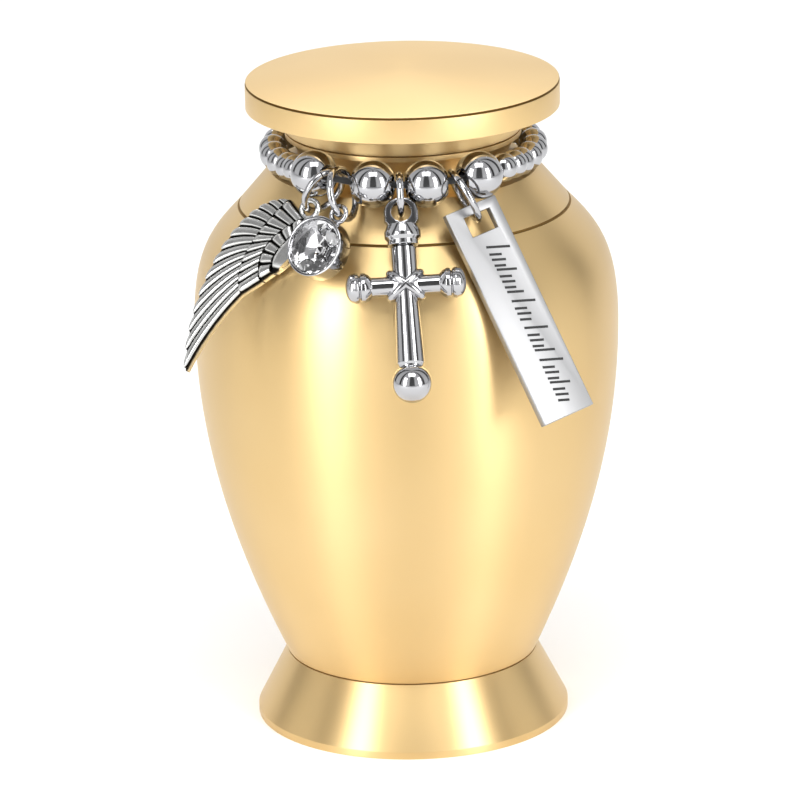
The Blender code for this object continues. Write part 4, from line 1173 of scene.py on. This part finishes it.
class KEEPSAKE_OT_stage(bpy.types.Operator):
    """Makes the camera, the pale floor, the softboxes and the pale surroundings"""
    bl_idname = "keepsake.stage"
    bl_label = "Stage"

    # azimuth from the front and elevation in degrees, distance and size in metres, power in watts
    SOFTBOXES = (("softbox_left", -42, 20, 0.55, (0.15, 0.4), 1.7),
                 ("softbox_right", 46, 20, 0.55, (0.13, 0.4), 1.7),
                 ("softbox_top", 0, 63, 0.6, (0.34, 0.2), 1.5),
                 ("softbox_back", 180, 52, 0.6, (0.5, 0.2), 1.0))
    # dark gaps between the studio's panels: azimuth from the front, half width in degrees, brightness
    GAPS = ((0, 14, 0.15), (72, 5, 0.06), (-72, 5, 0.06), (118, 6, 0.1), (-118, 6, 0.1))
    GAP_BLUR = 3                # degrees over which a gap's edge fades
    FLOOR_HALF = 3.0            # half the floor's side, in metres

    def execute(self, context):
        self.camera(context)
        self.floor(context)
        for softbox in self.SOFTBOXES:
            self.softbox(context, *softbox)
        self.surroundings(context)
        context.scene.view_settings.view_transform = "Standard"
        return {"FINISHED"}

    @staticmethod
    def camera(context):
        """The camera of the photograph."""
        data = bpy.data.cameras.new("camera")
        data.sensor_width = SENSOR_WIDTH
        data.lens = PIXELS_PER_METRE * CAMERA_DISTANCE * SENSOR_WIDTH / IMAGE_PIXELS
        data.shift_x = (IMAGE_PIXELS / 2 - AIM_PIXEL[0]) / IMAGE_PIXELS
        data.shift_y = (AIM_PIXEL[1] - IMAGE_PIXELS / 2) / IMAGE_PIXELS
        data.clip_start = NEAR_CLIP
        camera = bpy.data.objects.new("camera", data)
        place = Vector((0, -CAMERA_DISTANCE * math.cos(CAMERA_ELEVATION),
                        AIM_HEIGHT + CAMERA_DISTANCE * math.sin(CAMERA_ELEVATION)))
        tilt = Matrix.Rotation(math.pi / 2 - CAMERA_ELEVATION, 4, "X")
        camera.matrix_world = Matrix.Translation(place) @ tilt @ Matrix.Rotation(-CAMERA_ROLL, 4, "Z")
        context.scene.collection.objects.link(camera)
        context.scene.camera = camera

    @classmethod
    def floor(cls, context):
        """A wide plain floor of matt white board."""
        bm = bmesh.new()
        bmesh.ops.create_grid(bm, x_segments=2, y_segments=2, size=cls.FLOOR_HALF)
        mesh = bpy.data.meshes.new("floor")
        bm.to_mesh(mesh)
        bm.free()
        board = new_material("matt_white_board", base_color=context.scene.keepsake_colors.floor,
                             roughness=0.9)[0]
        mesh.materials.append(board)
        floor = bpy.data.objects.new("floor", mesh)
        context.scene.collection.objects.link(floor)

    @staticmethod
    def softbox(context, name, azimuth, elevation, distance, size, power):
        """A rectangular softbox, aimed at the urn's middle, its azimuth counted from the front."""
        turn, rise = math.radians(azimuth), math.radians(elevation)
        away = Vector((math.sin(turn) * math.cos(rise), -math.cos(turn) * math.cos(rise), math.sin(rise)))
        data = bpy.data.lights.new(name, "AREA")
        data.shape = "RECTANGLE"
        data.size, data.size_y = size
        data.energy = power
        light = bpy.data.objects.new(name, data)
        light.matrix_world = (Matrix.Translation(Vector((0, 0, AIM_HEIGHT)) + distance * away)
                              @ away.to_track_quat("Z", "Y").to_matrix().to_4x4())
        context.scene.collection.objects.link(light)

    @classmethod
    def surroundings(cls, context):
        """White panels all round, a slightly darker ceiling, and dark gaps that polished steel mirrors."""
        world = bpy.data.worlds.new("studio")
        world.use_nodes = True
        tree = world.node_tree
        place = add_node(tree, "ShaderNodeTexCoord").outputs["Generated"]
        way = add_node(tree, "ShaderNodeSeparateXYZ", {"Vector": place})
        shade = ramp(tree, way.outputs["Z"], linear("#F4F4F4"), linear("#DADADB"), 0.2, 0.9)
        around = add_node(tree, "ShaderNodeTexGradient", {"Vector": place}, gradient_type="RADIAL")
        panels = add_node(tree, "ShaderNodeValToRGB", {"Fac": around.outputs["Fac"]})
        stops = panels.color_ramp.elements
        stops[0].position, stops[0].color = 0.0, (1, 1, 1, 1)
        stops[1].position, stops[1].color = 1.0, (1, 1, 1, 1)
        for azimuth, half, depth in cls.GAPS:
            turn = (0.25 + azimuth / 360) % 1
            outer = half + cls.GAP_BLUR
            for shift, level in ((-outer, 1.0), (-half, depth), (half, depth), (outer, 1.0)):
                stops.new(turn + shift / 360).color = (level, level, level, 1)
        # inputs 0, 6 and 7 are the factor and the two colours
        dimmed = add_node(tree, "ShaderNodeMix", {6: shade, 7: panels.outputs["Color"], 0: 1.0},
                          data_type="RGBA", blend_type="MULTIPLY")
        tree.links.new(dimmed.outputs[2], tree.nodes["Background"].inputs["Color"])
        tree.nodes["Background"].inputs["Strength"].default_value = 1.0
        context.scene.world = world


class KEEPSAKE_PT_panel(bpy.types.Panel):
    """Lists the urn's settings and pieces in the sidebar"""
    bl_idname = "KEEPSAKE_PT_panel"
    bl_label = "Keepsake urn"
    bl_space_type = "VIEW_3D"
    bl_region_type = "UI"
    bl_category = "Keepsake urn"

    def draw(self, context):
        for group in (context.scene.keepsake_sizes, context.scene.keepsake_colors):
            for name in group.__annotations__:
                self.layout.prop(group, name)
        for operator in OPERATORS:
            self.layout.operator(operator.bl_idname)


OPERATORS = (KEEPSAKE_OT_turned_pieces, KEEPSAKE_OT_bracelet, KEEPSAKE_OT_jump_rings, KEEPSAKE_OT_cross,
             KEEPSAKE_OT_bar_tag, KEEPSAKE_OT_wing, KEEPSAKE_OT_crystal, KEEPSAKE_OT_stage)
CLASSES = (KeepsakeColors, KeepsakeSizes, *OPERATORS, KEEPSAKE_PT_panel)


def register():
    """Registers the add-on's classes and its settings."""
    for cls in CLASSES:
        bpy.utils.register_class(cls)
    bpy.types.Scene.keepsake_colors = PointerProperty(type=KeepsakeColors)
    bpy.types.Scene.keepsake_sizes = PointerProperty(type=KeepsakeSizes)


def unregister():
    """Takes them out again."""
    del bpy.types.Scene.keepsake_sizes
    del bpy.types.Scene.keepsake_colors
    for cls in reversed(CLASSES):
        bpy.utils.unregister_class(cls)


def main():
    """Makes every piece in order."""
    register()
    bpy.ops.keepsake.turned_pieces()
    bpy.ops.keepsake.bracelet()
    bpy.ops.keepsake.jump_rings()
    bpy.ops.keepsake.cross()
    bpy.ops.keepsake.bar_tag()
    bpy.ops.keepsake.wing()
    bpy.ops.keepsake.crystal()
    bpy.ops.keepsake.stage()


if __name__ == "__main__":
    main()
